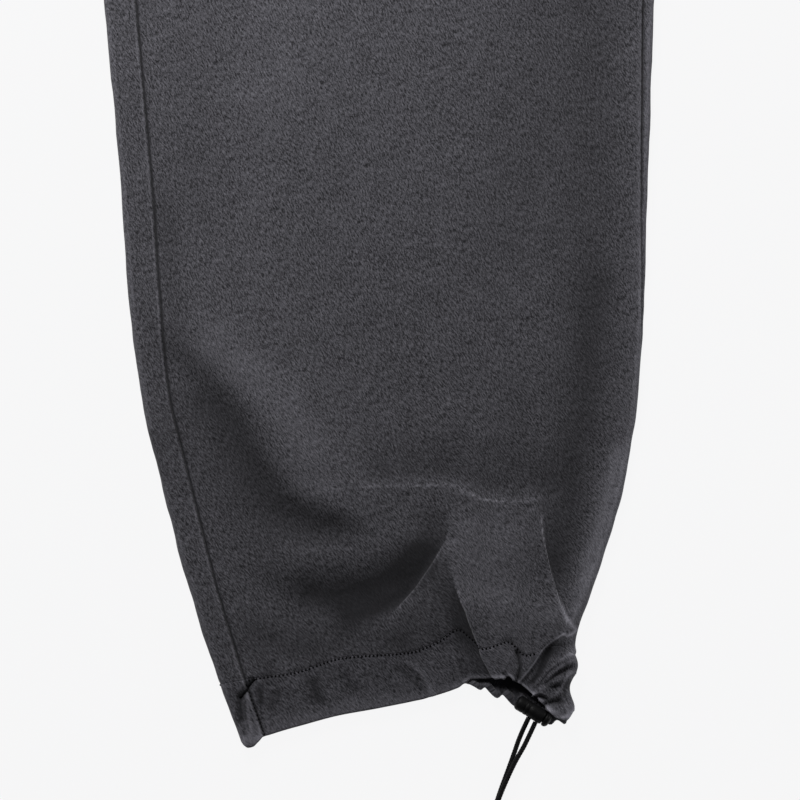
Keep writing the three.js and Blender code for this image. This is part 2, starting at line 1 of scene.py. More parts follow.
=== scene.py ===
# %% [markdown]
# # Cargo pants of brushed sweat cloth, laid flat
#
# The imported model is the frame: it says where every piece lies, in metres, with the front
# of the garment up and the waist towards +Y. This lesson dresses that frame in cloth, cord
# and thread. The work is done in the plane of a leg, in millimetres: x outwards from the
# middle of the garment, y up from the lowest point of the hem, z up off the table.

# %% The frame
import math

import bpy
import numpy as np
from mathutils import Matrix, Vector


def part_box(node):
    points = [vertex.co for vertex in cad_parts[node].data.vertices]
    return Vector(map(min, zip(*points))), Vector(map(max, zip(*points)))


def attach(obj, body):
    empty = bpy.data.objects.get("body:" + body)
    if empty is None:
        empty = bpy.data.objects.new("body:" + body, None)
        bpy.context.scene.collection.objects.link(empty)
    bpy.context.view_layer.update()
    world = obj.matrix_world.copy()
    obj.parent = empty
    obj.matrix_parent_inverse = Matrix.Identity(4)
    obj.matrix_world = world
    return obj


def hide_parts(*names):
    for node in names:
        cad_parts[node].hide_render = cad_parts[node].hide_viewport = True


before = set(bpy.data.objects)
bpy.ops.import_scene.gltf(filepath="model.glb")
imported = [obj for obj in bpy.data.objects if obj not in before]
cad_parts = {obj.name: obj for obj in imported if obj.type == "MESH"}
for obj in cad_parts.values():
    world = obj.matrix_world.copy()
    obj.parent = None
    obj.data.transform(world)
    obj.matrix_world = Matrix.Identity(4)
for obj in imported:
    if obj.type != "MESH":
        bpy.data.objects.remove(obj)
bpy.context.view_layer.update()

# %% From the leg's plane to the frame
MM = 0.001
WAIST_TOP = 1045
LEGS = [
    {"name": "left", "side": 1, "shift": 0, "lift": 1.0},
    {"name": "right", "side": -1, "shift": 5, "lift": 0.86},
]
HEM_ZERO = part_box("waistband")[1].y / MM - WAIST_TOP
print("the hem's lowest point lies at", round(HEM_ZERO, 2), "mm")


def in_scene(name, data):
    """A new object for this data, linked into the scene."""
    made = bpy.data.objects.new(name, data)
    bpy.context.scene.collection.objects.link(made)
    return made


def in_frame(points, side=1):
    """Points of a leg's plane, in millimetres, as points of the frame, in metres."""
    placed = np.array(points, float) + (0, HEM_ZERO, 0)
    return placed * (side * MM, MM, MM)


# %% [markdown]
# ## Camera, floor and light
#
# The garment is looked at from straight above, close enough for one lower leg to fill the
# view. A long lens keeps the edges of the leg free of perspective. The floor is a plain
# white sheet that glows evenly, like a lit paper sweep, so it shows no shadow. The key is a
# large soft lamp beyond the waist: cloth near it is brighter and folds have one soft side. A
# weak low lamp on the outer side lights only the edges that turn towards it.

# %% Camera
VIEW_WIDTH = 480
VIEW_MIDDLE = (215, 208.8, 6)
CAMERA_RISE = 3.0

view_middle = Vector(in_frame(VIEW_MIDDLE))
camera_data = bpy.data.cameras.new("camera")
camera_data.lens = camera_data.sensor_width * CAMERA_RISE / (VIEW_WIDTH * MM)
camera_data.clip_end = 20
camera = in_scene("camera", camera_data)
camera.location = view_middle + Vector((0, 0, CAMERA_RISE))
bpy.context.scene.camera = camera
bpy.context.scene.view_settings.view_transform = "Standard"
print("camera over", [round(v, 4) for v in view_middle], "lens", round(camera_data.lens, 1), "mm")

# %% Lamps and world
LAMPS = [
    {"name": "key", "offset": (-0.30, 0.82, 0.70), "size": 0.5, "watts": 13.1},
    {"name": "edge", "offset": (1.05, 0.05, 0.26), "size": 0.4, "watts": 2.6},
]
WORLD_LIGHT = 0.09

for lamp in LAMPS:
    lamp_data = bpy.data.lights.new(lamp["name"], "AREA")
    lamp_data.shape = "DISK"
    lamp_data.size = lamp["size"]
    lamp_data.energy = lamp["watts"]
    lamp_object = in_scene(lamp["name"], lamp_data)
    lamp_object.location = view_middle + Vector(lamp["offset"])
    lamp_object.rotation_euler = (-Vector(lamp["offset"])).to_track_quat("-Z", "Y").to_euler()

world = bpy.data.worlds.new("studio")
world.use_nodes = True
sky = world.node_tree.nodes["Background"].inputs
sky["Color"].default_value = (1, 1, 1, 1)
sky["Strength"].default_value = WORLD_LIGHT
bpy.context.scene.world = world

# %% [markdown]
# ## Shader sums
#
# A finish is easier to read as a sum than as a web of nodes. `Flow` wraps one socket of a
# node tree, and arithmetic on it adds the Math nodes. Every other node comes from `node`,
# which takes the node's type, its settings and what goes into its sockets.


# %% Flow and node
def node(tree, kind, settings=None, **inputs):
    """A new node: settings are set first, then each input gets a value or a link."""
    made = tree.nodes.new(kind)
    for name, value in (settings or {}).items():
        setattr(made, name, value)
    for name, value in inputs.items():
        name = name.replace("_", " ")
        socket = made.inputs[int(name[2:]) if name.startswith("at") else name]
        if isinstance(value, Flow):
            tree.links.new(value.socket, socket)
        else:
            socket.default_value = value
    return made


class Flow:
    """A socket of a node tree, with arithmetic that adds Math nodes."""

    def __init__(self, socket):
        self.socket = socket

    def sum(self, operation, *terms, clamp=False):
        settings = {"operation": operation, "use_clamp": clamp}
        inputs = {f"at{k}": term for k, term in enumerate(terms)}
        return Flow(node(self.socket.id_data, "ShaderNodeMath", settings, **inputs).outputs[0])

    def __add__(self, other):
        return self.sum("ADD", self, other)

    def __sub__(self, other):
        return self.sum("SUBTRACT", self, other)

    def __rsub__(self, other):
        return self.sum("SUBTRACT", other, self)

    def __mul__(self, other):
        return self.sum("MULTIPLY", self, other)

    def __pow__(self, other):
        return self.sum("POWER", self, other)

    def at_least(self, low):
        return self.sum("MAXIMUM", self, low)

    def clamped(self):
        return self.sum("ADD", self, 0.0, clamp=True)

    __radd__ = __add__
    __rmul__ = __mul__


class Finish:
    """A material under construction, ending in one Principled shader."""

    def __init__(self, name, **uniform):
        self.material = bpy.data.materials.new(name)
        self.material.use_nodes = True
        self.tree = self.material.node_tree
        self.tree.nodes.clear()
        self.shader = node(self.tree, "ShaderNodeBsdfPrincipled", **uniform)
        output = node(self.tree, "ShaderNodeOutputMaterial")
        self.tree.links.new(self.shader.outputs[0], output.inputs["Surface"])

    def flow(self, kind, output, settings=None, **inputs):
        return Flow(node(self.tree, kind, settings, **inputs).outputs[output])

    def attribute(self, name):
        return self.flow("ShaderNodeAttribute", "Fac", {"attribute_name": name})

    def noise(self, place, scale, detail=2.0, roughness=0.5):
        """Noise about 0, mostly between -1 and 1."""
        made = self.flow(
            "ShaderNodeTexNoise", 0, Vector=place, Scale=scale, Detail=detail, Roughness=roughness,
        )
        return (made - 0.5) * 4.0

    def stretched(self, place, size, turn=0.0):
        """The place turned, then measured in pieces of this size along each axis."""
        return self.flow(
            "ShaderNodeMapping", 0, {"vector_type": "TEXTURE"}, Vector=place, Scale=size,
            Rotation=(0, 0, turn),
        )

    def tint(self, share, dark, light):
        """Base colour between dark and light, or lighter still where the share is above 1."""
        settings = {"data_type": "RGBA", "clamp_factor": False}
        colours = {"at6": (*dark, 1), "at7": (*light, 1)}
        self.feed("Base Color", self.flow("ShaderNodeMix", 2, settings, at0=share, **colours))

    def feed(self, name, value):
        self.tree.links.new(value.socket, self.shader.inputs[name])

    def bump(self, height, distance, strength=1.0):
        self.feed("Normal", self.flow(
            "ShaderNodeBump", 0, Height=height, Distance=distance, Strength=strength,
        ))


# %% [markdown]
# ## Mesh from a grid
#
# Nearly every piece here is a sheet: rows and columns of points. `Sheet` keeps the points
# with their place on the cloth (metres across and along, for the weave) and a value for each
# that holds both its wear and the light and shade painted on it. `closed_wall` gives a sheet
# its thickness by setting a second grid behind the first, along the normals, and joins the two
# at the edges, so that the piece is one closed body.
# Every finished piece is kept in `pieces` under its name.


# %% Sheet and mesh helpers
CORNERS = ((0, 0), (0, 1), (1, 1), (1, 0))
pieces = {}


class Sheet:
    """A grid of points, with the cloth's own coordinates and its wear and painted light and shade at each of
    them.
    """

    def __init__(self, points, cloth_place, painted_light_and_wear=None, ring=False):
        self.points = points
        self.place = cloth_place
        self.painted_light_and_wear = np.zeros(points.shape[:2]) if painted_light_and_wear is None else painted_light_and_wear
        self.ring = ring
        self.behind = None

    def normals(self):
        """Unit normals, on the left of the rows as the columns run."""
        points = self.points
        if self.ring:
            points = np.concatenate([points[:, -1:], points, points[:, :1]], 1)
        across = np.gradient(points, axis=1)
        if self.ring:
            across = across[:, 1:-1]
        along = np.gradient(self.points, axis=0)
        normal = np.cross(across, along)
        return normal / np.maximum(np.linalg.norm(normal, axis=2, keepdims=True), 1e-12)

    def swell(self, lift):
        """Moves the points along their normals, but not below the table."""
        self.points = self.points + self.normals() * lift[..., None]
        self.points[..., 2] = np.maximum(self.points[..., 2], 0)


def keep(name, mesh):
    """Puts this mesh in the scene and among the pieces."""
    pieces[name] = in_scene(name, mesh)
    print(name, len(mesh.vertices), "points", len(mesh.polygons), "faces")


def mesh_piece(name, points, faces, places, painted_light_and_wear, side):
    """A smooth piece. places has a pair for each corner of each face. side -1 mirrors it."""
    if side < 0:
        faces, places = faces[:, ::-1], places[:, ::-1]
    mesh = bpy.data.meshes.new(name)
    mesh.vertices.add(len(points))
    mesh.vertices.foreach_set("co", np.ascontiguousarray(in_frame(points, side), np.float32).ravel())
    mesh.loops.add(faces.size)
    mesh.loops.foreach_set("vertex_index", faces.ravel().astype(np.int32))
    mesh.polygons.add(len(faces))
    mesh.polygons.foreach_set("loop_start", np.arange(0, faces.size, faces.shape[1], dtype=np.int32))
    mesh.update(calc_edges=True)
    mesh.polygons.foreach_set("use_smooth", np.ones(len(faces), bool))
    layer = mesh.uv_layers.new(name="cloth")
    layer.data.foreach_set("uv", np.ascontiguousarray(places, np.float32).ravel())
    # This attribute carries the wear and the painted light and shade to the finish.
    wear_and_light = mesh.attributes.new("painted_light_and_wear", "FLOAT", "POINT")
    wear_and_light.data.foreach_set("value", np.ascontiguousarray(painted_light_and_wear, np.float32).ravel())
    mesh.validate()
    keep(name, mesh)


def grid_quads(rows, spans, width):
    """Faces of a grid of points, as places in a list of its rows, each of this width."""
    j, i = np.meshgrid(np.arange(rows - 1), np.arange(spans), indexing="ij")
    return np.stack([(j + dj) * width + (i + di) % width for dj, di in CORNERS], -1).reshape(-1, 4)


def closed_wall(name, sheet, thickness, side=1):
    """The sheet with a second face behind it, joined all round."""
    rows, columns = sheet.points.shape[:2]
    count, width = rows * columns, sheet.place.shape[1]
    behind = sheet.points - sheet.normals() * thickness if sheet.behind is None else sheet.behind
    behind[..., 2] = np.maximum(behind[..., 2], 0)
    spans = columns if sheet.ring else columns - 1
    front, spots = grid_quads(rows, spans, columns), grid_quads(rows, spans, width)
    faces, places = [front, front[:, ::-1] + count], [spots, spots[:, ::-1]]
    around = np.arange(spans + 1) % columns
    edges = [around, (rows - 1) * columns + around[::-1]]
    if not sheet.ring:
        edges += [np.arange(rows)[::-1] * columns, np.arange(rows) * columns + columns - 1]
    for edge in edges:
        a, b = edge[:-1], edge[1:]
        faces.append(np.stack([b, a, a + count, b + count], -1))
        places.append(np.stack([(v // columns) * width + v % columns for v in (b, a, a, b)], -1))
    points = np.concatenate([sheet.points.reshape(-1, 3), behind.reshape(-1, 3)])
    uv = (sheet.place.reshape(-1, 2) * MM)[np.concatenate(places)]
    mesh_piece(name, points, np.concatenate(faces), uv, np.concatenate([sheet.painted_light_and_wear.ravel()] * 2), side)


def closed_tube(name, rings, tips, around, along, side):
    """A tube through rings of points, closed at each end by a fan of triangles round a tip."""
    rows, columns = rings.shape[:2]
    place = np.stack(np.broadcast_arrays(around, along[:, None]), 2)
    quads = grid_quads(rows, columns, columns)
    spots = (place.reshape(-1, 2) * MM)[grid_quads(rows, columns, columns + 1)]
    faces = [quads[:, [0, 1, 2]], quads[:, [0, 2, 3]]]
    places = [spots[:, [0, 1, 2]], spots[:, [0, 2, 3]]]
    rims = [np.arange(columns)[::-1], (rows - 1) * columns + np.arange(columns)]
    for k, rim in enumerate(rims):
        faces.append(np.stack([rim, np.roll(rim, -1), np.full(columns, rows * columns + k)], 1))
        places.append(np.zeros((columns, 3, 2)))
    points = np.concatenate([rings.reshape(-1, 3), tips])
    mesh_piece(name, points, np.concatenate(faces), np.concatenate(places), np.zeros(len(points)), side)


# %% [markdown]
# ## Drawcord
#
# The hem is pulled in by a round braided cord, 3 mm thick. Its two free ends leave the cord
# lock side by side, cross, and end in one knot. A braid can be a tube with a pattern painted
# on, but its edge then stays smooth. Here the tube's own points carry the braid: two sets
# of strands wind opposite ways, and each point lies on whichever set is on top.

# %% Routes of the two ends
CORD_RADIUS = 1.5
CORD_EXITS = [3.4, 8.2]
CORD_GAP = 0.3
LOCK = {"x": 291.8, "y": 24, "z": 7.3, "angle": -32, "radius": 4.6}

LOWER_END = [
    (289.3, 12, 5.4), (286.3, 4.5, 2.2), (283.2, -4.5, 1.55), (279.6, -14.5, 1.55), (275.9, -24.5, 1.55),
    (272.5, -34.5, 1.55), (268.6, -46, 1.55), (263.5, -58, 1.55), (257, -70, 1.55), (251.2, -80.5, 1.55),
    (246, -88.9, 2.6),
]
UPPER_END = [
    (293.4, 9.4, 6.2), (289.4, 1, 5.2), (284.6, -7.5, 4.9), (279.9, -17.2, 4.95), (275.9, -26.5, 4.95),
    (272.1, -36, 4.95), (266.2, -47.4, 4.5), (257.6, -59.5, 2.2), (249.6, -70, 1.55), (244, -80.2, 1.55),
    (241.2, -88.5, 2.6),
]


def cord_exit(along):
    """Where a cord end leaves the side of the lock's barrel, away from the hem."""
    turn = math.radians(LOCK["angle"])
    out = LOCK["radius"] + CORD_GAP
    x = LOCK["x"] + along * math.cos(turn) + out * math.sin(turn)
    y = LOCK["y"] + along * math.sin(turn) - out * math.cos(turn)
    return (x, y, LOCK["z"])


def smooth_line(points, step):
    """An even run of points on the smooth curve through these points."""
    points = np.array(points, float)
    ends = [2 * points[0] - points[1], 2 * points[-1] - points[-2]]
    points = np.concatenate([ends[:1], points, ends[1:]])
    knots = np.concatenate([[0], np.cumsum(np.linalg.norm(np.diff(points, axis=0), axis=1) ** 0.5)])
    run = []
    for k in range(1, len(points) - 2):
        t = np.linspace(knots[k], knots[k + 1], 24, endpoint=False)[:, None]
        a, b, c, d = points[k - 1:k + 3]
        ta, tb, tc, td = knots[k - 1:k + 3]

        def between(p, q, start, end):
            return (p * (end - t) + q * (t - start)) / (end - start)

        early = between(between(a, b, ta, tb), between(b, c, tb, tc), ta, tc)
        late = between(between(b, c, tb, tc), between(c, d, tc, td), tb, td)
        run.append(between(early, late, tb, tc))
    run = np.concatenate([*run, points[-2:-1]])
    along = np.concatenate([[0], np.cumsum(np.linalg.norm(np.diff(run, axis=0), axis=1))])
    even = np.linspace(0, along[-1], max(2, round(along[-1] / step) + 1))
    return np.stack([np.interp(even, along, values) for values in run.T], 1)


# %% Braided tube
BRAID = {"strands": 8, "lay": 7.0, "relief": 0.16, "sides": 32, "step": 0.42}


def braided_tube(name, line, side, radius=CORD_RADIUS):
    """A closed tube along the line, with the strands of a braid raised on it."""
    tangent = np.gradient(line, axis=0)
    tangent /= np.linalg.norm(tangent, axis=1, keepdims=True)
    across = np.cross((0, 0, 1.0), tangent)
    across /= np.linalg.norm(across, axis=1, keepdims=True)
    up = np.cross(tangent, across)
    length = np.linalg.norm(line[1] - line[0]) * np.arange(len(line))
    columns = BRAID["sides"]
    turn = np.linspace(0, 2 * np.pi, columns, endpoint=False)
    wind = 2 * np.pi * length[:, None] / BRAID["lay"]
    right, left = [np.cos(BRAID["strands"] / 2 * (turn[None] + sign * wind)) for sign in (1, -1)]
    high = radius - BRAID["relief"] * (0.5 - 0.5 * np.maximum(right, left))
    ring = across[:, None] * np.cos(turn)[None, :, None] + up[:, None] * np.sin(turn)[None, :, None]
    around = np.arange(columns + 1) / columns * 2 * np.pi * radius
    closed_tube(name, line[:, None] + ring * high[..., None], line[[0, -1]], around, length, side)
    print(name, "is", round(length[-1]), "mm long")


cord_routes = {}
for leg in LEGS:
    for end, along, route in (("lower", CORD_EXITS[0], LOWER_END), ("upper", CORD_EXITS[1], UPPER_END)):
        name = f"cord_{end}_{leg['name']}"
        line = smooth_line([cord_exit(along), *route], BRAID["step"])
        braided_tube(name, line, leg["side"])
        cord_routes[name] = in_frame(line, leg["side"])


# %% [markdown]
# ## The form of a leg
#
# A leg laid flat is a flattened tube. Two panels make it: the front panel spans the top, and
# the wider back panel lies on the floor and turns up round both edges, so that the seams lie
# on top, a little in from the edges. The tables say where the edges are at each height and
# how far the back panel turns round them. Every piece of cloth is made from this one form,
# so the pieces meet along their seams.

# %% Tables of the leg
CLOTH = 2.0
CASING_CLOTH = 2.4
FLAT_TOP = 6.0
HEM_EDGE_TOP = 7.4
GATHER_EDGE_TOP = 11.0
PUFF = 18.0
WAIST_SEAM = 1000

CENTRE = -0.05
CROTCH = 740
JOINED_TURN = 0.08

LEG_COLUMNS = ("y", "inner", "outer", "inseam_turn", "outseam_turn")
LEG_SECTIONS = [
    (0, 121, 316.4, 16, -8),
    (41, 106.4, 319, 17, -8),
    (65, 98, 320.4, 18, -8),
    (89, 90.8, 327.8, 18, -7),
    (113, 83.6, 336.2, 19, -6),
    (137, 77.6, 344, 19, -5),
    (161, 71.6, 350, 19, -3),
    (209, 60.2, 357.2, 19, 0),
    (269, 52.4, 361.4, 21, 3.5),
    (329, 48.2, 363.2, 21, 5.6),
    (449, 37.4, 367.4, 21, 8.5),
    (560, 27, 371, 17, 9),
    (680, 13, 372, 8, 9),
    (740, CENTRE, 369, 1, 9),
    (800, CENTRE, 359, 1, 8),
    (860, CENTRE, 341, 1, 8),
    (920, CENTRE, 305, 1, 7),
    (970, CENTRE, 254, 1, 7),
    (1000, CENTRE, 208, 1, 7),
    (1045, CENTRE, 203, 1, 7),
]
CASING_TOP = [
    (0, 38.4), (0.1, 42), (0.21, 45.6), (0.35, 54.6), (0.53, 57.6), (0.61, 63.6),
    (0.67, 71.5), (0.74, 60), (0.81, 64), (0.86, 56), (0.95, 61.5), (1, 55.8),
]
FRONT_HEM = [
    (0, 2.4), (0.008, 0.8), (0.02, 0), (0.035, 0.6), (0.05, 3.4), (0.066, 6.6), (0.085, 7.8), (0.155, 12),
    (0.29, 19.2), (0.42, 24), (0.55, 29.6), (0.65, 36), (0.69, 41), (0.775, 41.6), (0.79, 41.8),
    (0.802, 42.6), (0.815, 40.4), (0.843, 36.8), (0.873, 31.6), (0.9, 26.6), (0.925, 21), (0.943, 17.8),
    (0.975, 16.8), (1, 22),
]
BACK_HEM = [
    (0, 2.4), (0.03, 3), (0.06, 7), (0.155, 13.4), (0.29, 21), (0.55, 31.5), (0.67, 38.5), (0.74, 33.5),
    (0.82, 26.5), (0.89, 18), (0.96, 14.5), (1, 21.6),
]
SCALLOPS = {"from": 0.68, "depth": 2.0, "count": 6, "curl": 5.0}


# %% Smooth reading of a table
def read(rows, at, column=1):
    """The column's value where the first column is `at`, on smooth arcs with no overshoot."""
    known = np.array(rows, float)
    xs, ys = known[:, 0], known[:, column]
    at = np.asarray(at, float)
    slope = np.diff(ys) / np.diff(xs)
    both = slope[:-1] * slope[1:]
    total = np.where(both > 0, slope[:-1] + slope[1:], 1)
    middle = np.where(both > 0, 2 * both / total, 0)
    tangent = np.concatenate([slope[:1], middle, slope[-1:]])
    k = np.clip(np.searchsorted(xs, at, side="right") - 1, 0, len(xs) - 2)
    span = xs[k + 1] - xs[k]
    t = np.clip((at - xs[k]) / span, 0, 1)
    ease = t * t * (3 - 2 * t)
    bend = t * (1 - t) * (tangent[k] * (1 - t) - tangent[k + 1] * t)
    return ys[k] + (ys[k + 1] - ys[k]) * ease + span * bend


def smooth(value, low, high):
    """0 below low, 1 above high, and eased between."""
    t = np.clip((value - low) / (high - low), 0, 1)
    return t * t * (3 - 2 * t)


def mix(a, b, t):
    return a + (b - a) * t


def bell(value, width):
    """1 at 0, falling off smoothly on both sides."""
    return np.exp(-(value / width) ** 2)


def leg_value(y, column):
    return read(LEG_SECTIONS, y, LEG_COLUMNS.index(column))


def inner_top(y):
    """How high the tube's inner edge stands at this height."""
    return mix(HEM_EDGE_TOP, FLAT_TOP, smooth(y, 380, 480))


def outer_top(y):
    return mix(GATHER_EDGE_TOP, inner_top(y), smooth(y, 62, 118))


# %% [markdown]
# ## Folds placed one by one
#
# Four kinds of relief shape the top of the leg. Soft swells are wide ridges and troughs that
# the knee and shin leave in the cloth. The drawcord heaves up one broad fold, whose edges
# lie over the cloth beside them: there the surface is also shifted sideways, so that it
# really overhangs. Small folds fan out from the pull of the cord. Last, the whole cloth has a
# faint unevenness. A fold's rim is rubbed paler than the cloth round it, as on a washed
# garment, and painted paler still as a highlight. Hollows, slits and the cloth beside the
# fold's edges are painted darker as shade, and crests are painted lighter. One value holds
# all of it for the finish: paler cloth, from wear and painted highlight, is above 0, and
# painted shade is below.

# %% Soft swells
# A row has a name, the height of its crest, how far it reaches on the left and right side as
# the line runs, its tone, and the line. A height below 0 is a trough. The tone is painted light
# and shade: below 0 it is painted shade, darker than plain cloth, and above 0 painted light.
SWELLS = [
    ("knee swell", 6.0, 70, 26, 0.02,
     [(84, 250), (108, 228), (128, 204), (140, 182), (152, 162), (168, 149), (186, 143)]),
    ("crest of the knee swell", 0.8, 34, 28, 0.3, [(104, 240), (130, 217), (152, 192), (160, 180)]),
    ("light before the crease", 0, 14, 10, 0.22, [(146, 156), (176, 156)]),
    ("hollow under the knee swell", -1.0, 14, 34, -0.6,
     [(104, 210), (114, 200), (125, 180), (134, 164), (146, 147), (161, 137), (176, 134)]),
    ("its upper end", -0.6, 10, 24, 0.0, [(80, 232), (92, 222), (102, 212)]),
    ("shin's inner side", 0, 44, 44, -0.22, [(84, 196), (104, 172), (126, 140), (140, 118)]),
    ("shin swell", 4.0, 26, 30, 0.05, [(150, 112), (185, 116), (212, 122)]),
    ("hollow beside the fold", -1.4, 20, 26, 0,
     [(136, 90), (168, 89), (196, 92), (220, 100), (236, 118), (240, 136)]),
    ("shade of that hollow", 0, 24, 24, -0.9, [(162, 93), (173, 93), (197, 95), (213, 99), (228, 110)]),
    ("shade over the casing", 0, 30, 30, -0.45,
     [(128, 70), (146, 64), (160, 62), (190, 62), (214, 60)]),
    ("shade at the fold's foot", 0, 18, 18, -0.65, [(184, 78), (198, 84), (212, 96), (226, 112)]),
    ("outer end of the crease", 0, 26, 26, -0.2, [(284, 180), (288, 215)]),
    ("hollow over the crease", -1.6, 40, 12, -0.3, [(206, 165), (244, 166), (264, 159), (298, 157)]),
    ("hollow along the outseam", -1.8, 40, 30, -0.28,
     [(310, 96), (318, 130), (324, 180), (330, 260), (334, 380), (338, 520)]),
    ("its darkest part", 0, 30, 22, -0.36, [(309, 112), (318, 160), (328, 220), (333, 280)]),
    ("beside the inseam", 0, 14, 14, -0.3, [(72, 330), (78, 280), (82, 250)]),
    ("paler thigh", 0.4, 60, 60, 0.16, [(150, 470), (148, 420), (136, 390)]),
    ("paler shin", 0.3, 34, 34, 0.1, [(128, 330), (126, 280)]),
    ("plain side", 0, 60, 60, -0.22, [(300, 440), (294, 370), (282, 310)]),
    ("plain inner side", 0, 30, 30, -0.12, [(92, 420), (96, 330)]),
    ("hip swell", 2.2, 60, 50, 0.05, [(60, 800), (150, 760), (250, 790)]),
]
BODY_SWELL = {"height": 3.0, "inner": (8, 70), "outer": (12, 48)}


def nearest_on(x, y, line):
    """Distance to a line, and the way from it to its left, at the nearest of its spans."""
    points = np.array(line, float)
    least = np.full(np.shape(x), np.inf)
    left = [np.zeros(np.shape(x)), np.zeros(np.shape(x))]
    beside = np.zeros(np.shape(x))
    for a, b in zip(points[:-1], points[1:]):
        (dx, dy), length = b - a, np.linalg.norm(b - a)
        px, py = x - a[0], y - a[1]
        t = np.clip((px * dx + py * dy) / length ** 2, 0, 1)
        distance = np.hypot(px - t * dx, py - t * dy)
        nearer = distance < least
        least = np.where(nearer, distance, least)
        beside = np.where(nearer, (dx * py - dy * px) / length / np.maximum(distance, 1e-9), beside)
        left = [np.where(nearer, -dy / length, left[0]), np.where(nearer, dx / length, left[1])]
    return least, beside, left


def ridge(x, y, left, right, line):
    """The share of one swell at (x, y): 1 on its line, falling to 0 on both sides."""
    distance, beside, _ = nearest_on(x, y, smooth_line(line, 5))
    reach = mix(right, left, 0.5 + 0.5 * beside)
    return np.exp(-4 * (distance / reach) ** 2)


def relief(rows, x, y):
    """The height and the painted light and shade of all of these swells together."""
    height, tone = 0, 0
    for _, crest, left, right, shade, line in rows:
        share = ridge(x, y, left, right, line)
        height = height + crest * share
        tone = tone + shade * share
    return height, tone


# %% The heaved fold
# Its upper crease runs outwards. The outer edge, the inner edge and the edge of the second
# pleat run up the leg, and each lies on the side of the fold that its name says.
FOLD_CREASE = [
    (163, 155), (185, 156.6), (220, 157.8), (241, 158.4), (254, 154.8), (264, 149.6), (282, 148.4),
    (299, 150),
]
OUTER_EDGE = [
    (281, 32), (285, 38), (290.4, 44), (296, 51), (302.3, 60), (309, 65.5), (315.5, 70.5), (315, 78),
    (310, 91), (306.6, 103), (303.2, 116.6), (301, 129), (300, 145),
]
INNER_EDGE = [
    (180, 44), (196, 64), (205, 75), (215.8, 86.6), (225.2, 97.8), (235.3, 113.4), (242.4, 126), (245, 142),
    (243, 160),
]
PLEAT_EDGE = [
    (273, 38), (269.3, 44), (264, 54), (261, 63.2), (256.4, 74.4), (253.7, 82.2), (250.9, 88.8), (246, 105),
]
FOLD_RISE = 4.4
PLEAT_RISE = 3.2
EDGE_WIDTH = 4.0
OVERHANG = 1.2
# Rims of the fold: rubbed paler as wear and painted paler as a highlight.
RIMS = {"outer": 1.6, "inner": 1.0, "pleat": 1.2, "crease": 0.8}
# Painted shade beside and between the fold's edges and on the pleat, and painted light on the raised fold.
SHADES = {
    "beside outer": -0.4, "low beside outer": -0.45, "beside pleat": -0.75, "beside inner": -0.7,
    "between": -0.45, "on pleat": -0.3, "on fold": 0.28,
}


def lip(inside, strength):
    """How far a fold's edge is pushed out over its foot, by distance inside the edge."""
    share = np.clip(inside / EDGE_WIDTH, -1, 1)
    return OVERHANG * strength * np.sin(np.pi * share) * (1 - share ** 2) ** 2


def rim(inside, width=0.8):
    return bell(inside - 0.4, width)


def edge_distance(line, x, y, sign):
    """Distance inside an edge and its outward direction. sign 1: the fold is on the line's left."""
    distance, beside, left = nearest_on(x, y, smooth_line(line, 3))
    return sign * distance * beside, (-sign * left[0], -sign * left[1])


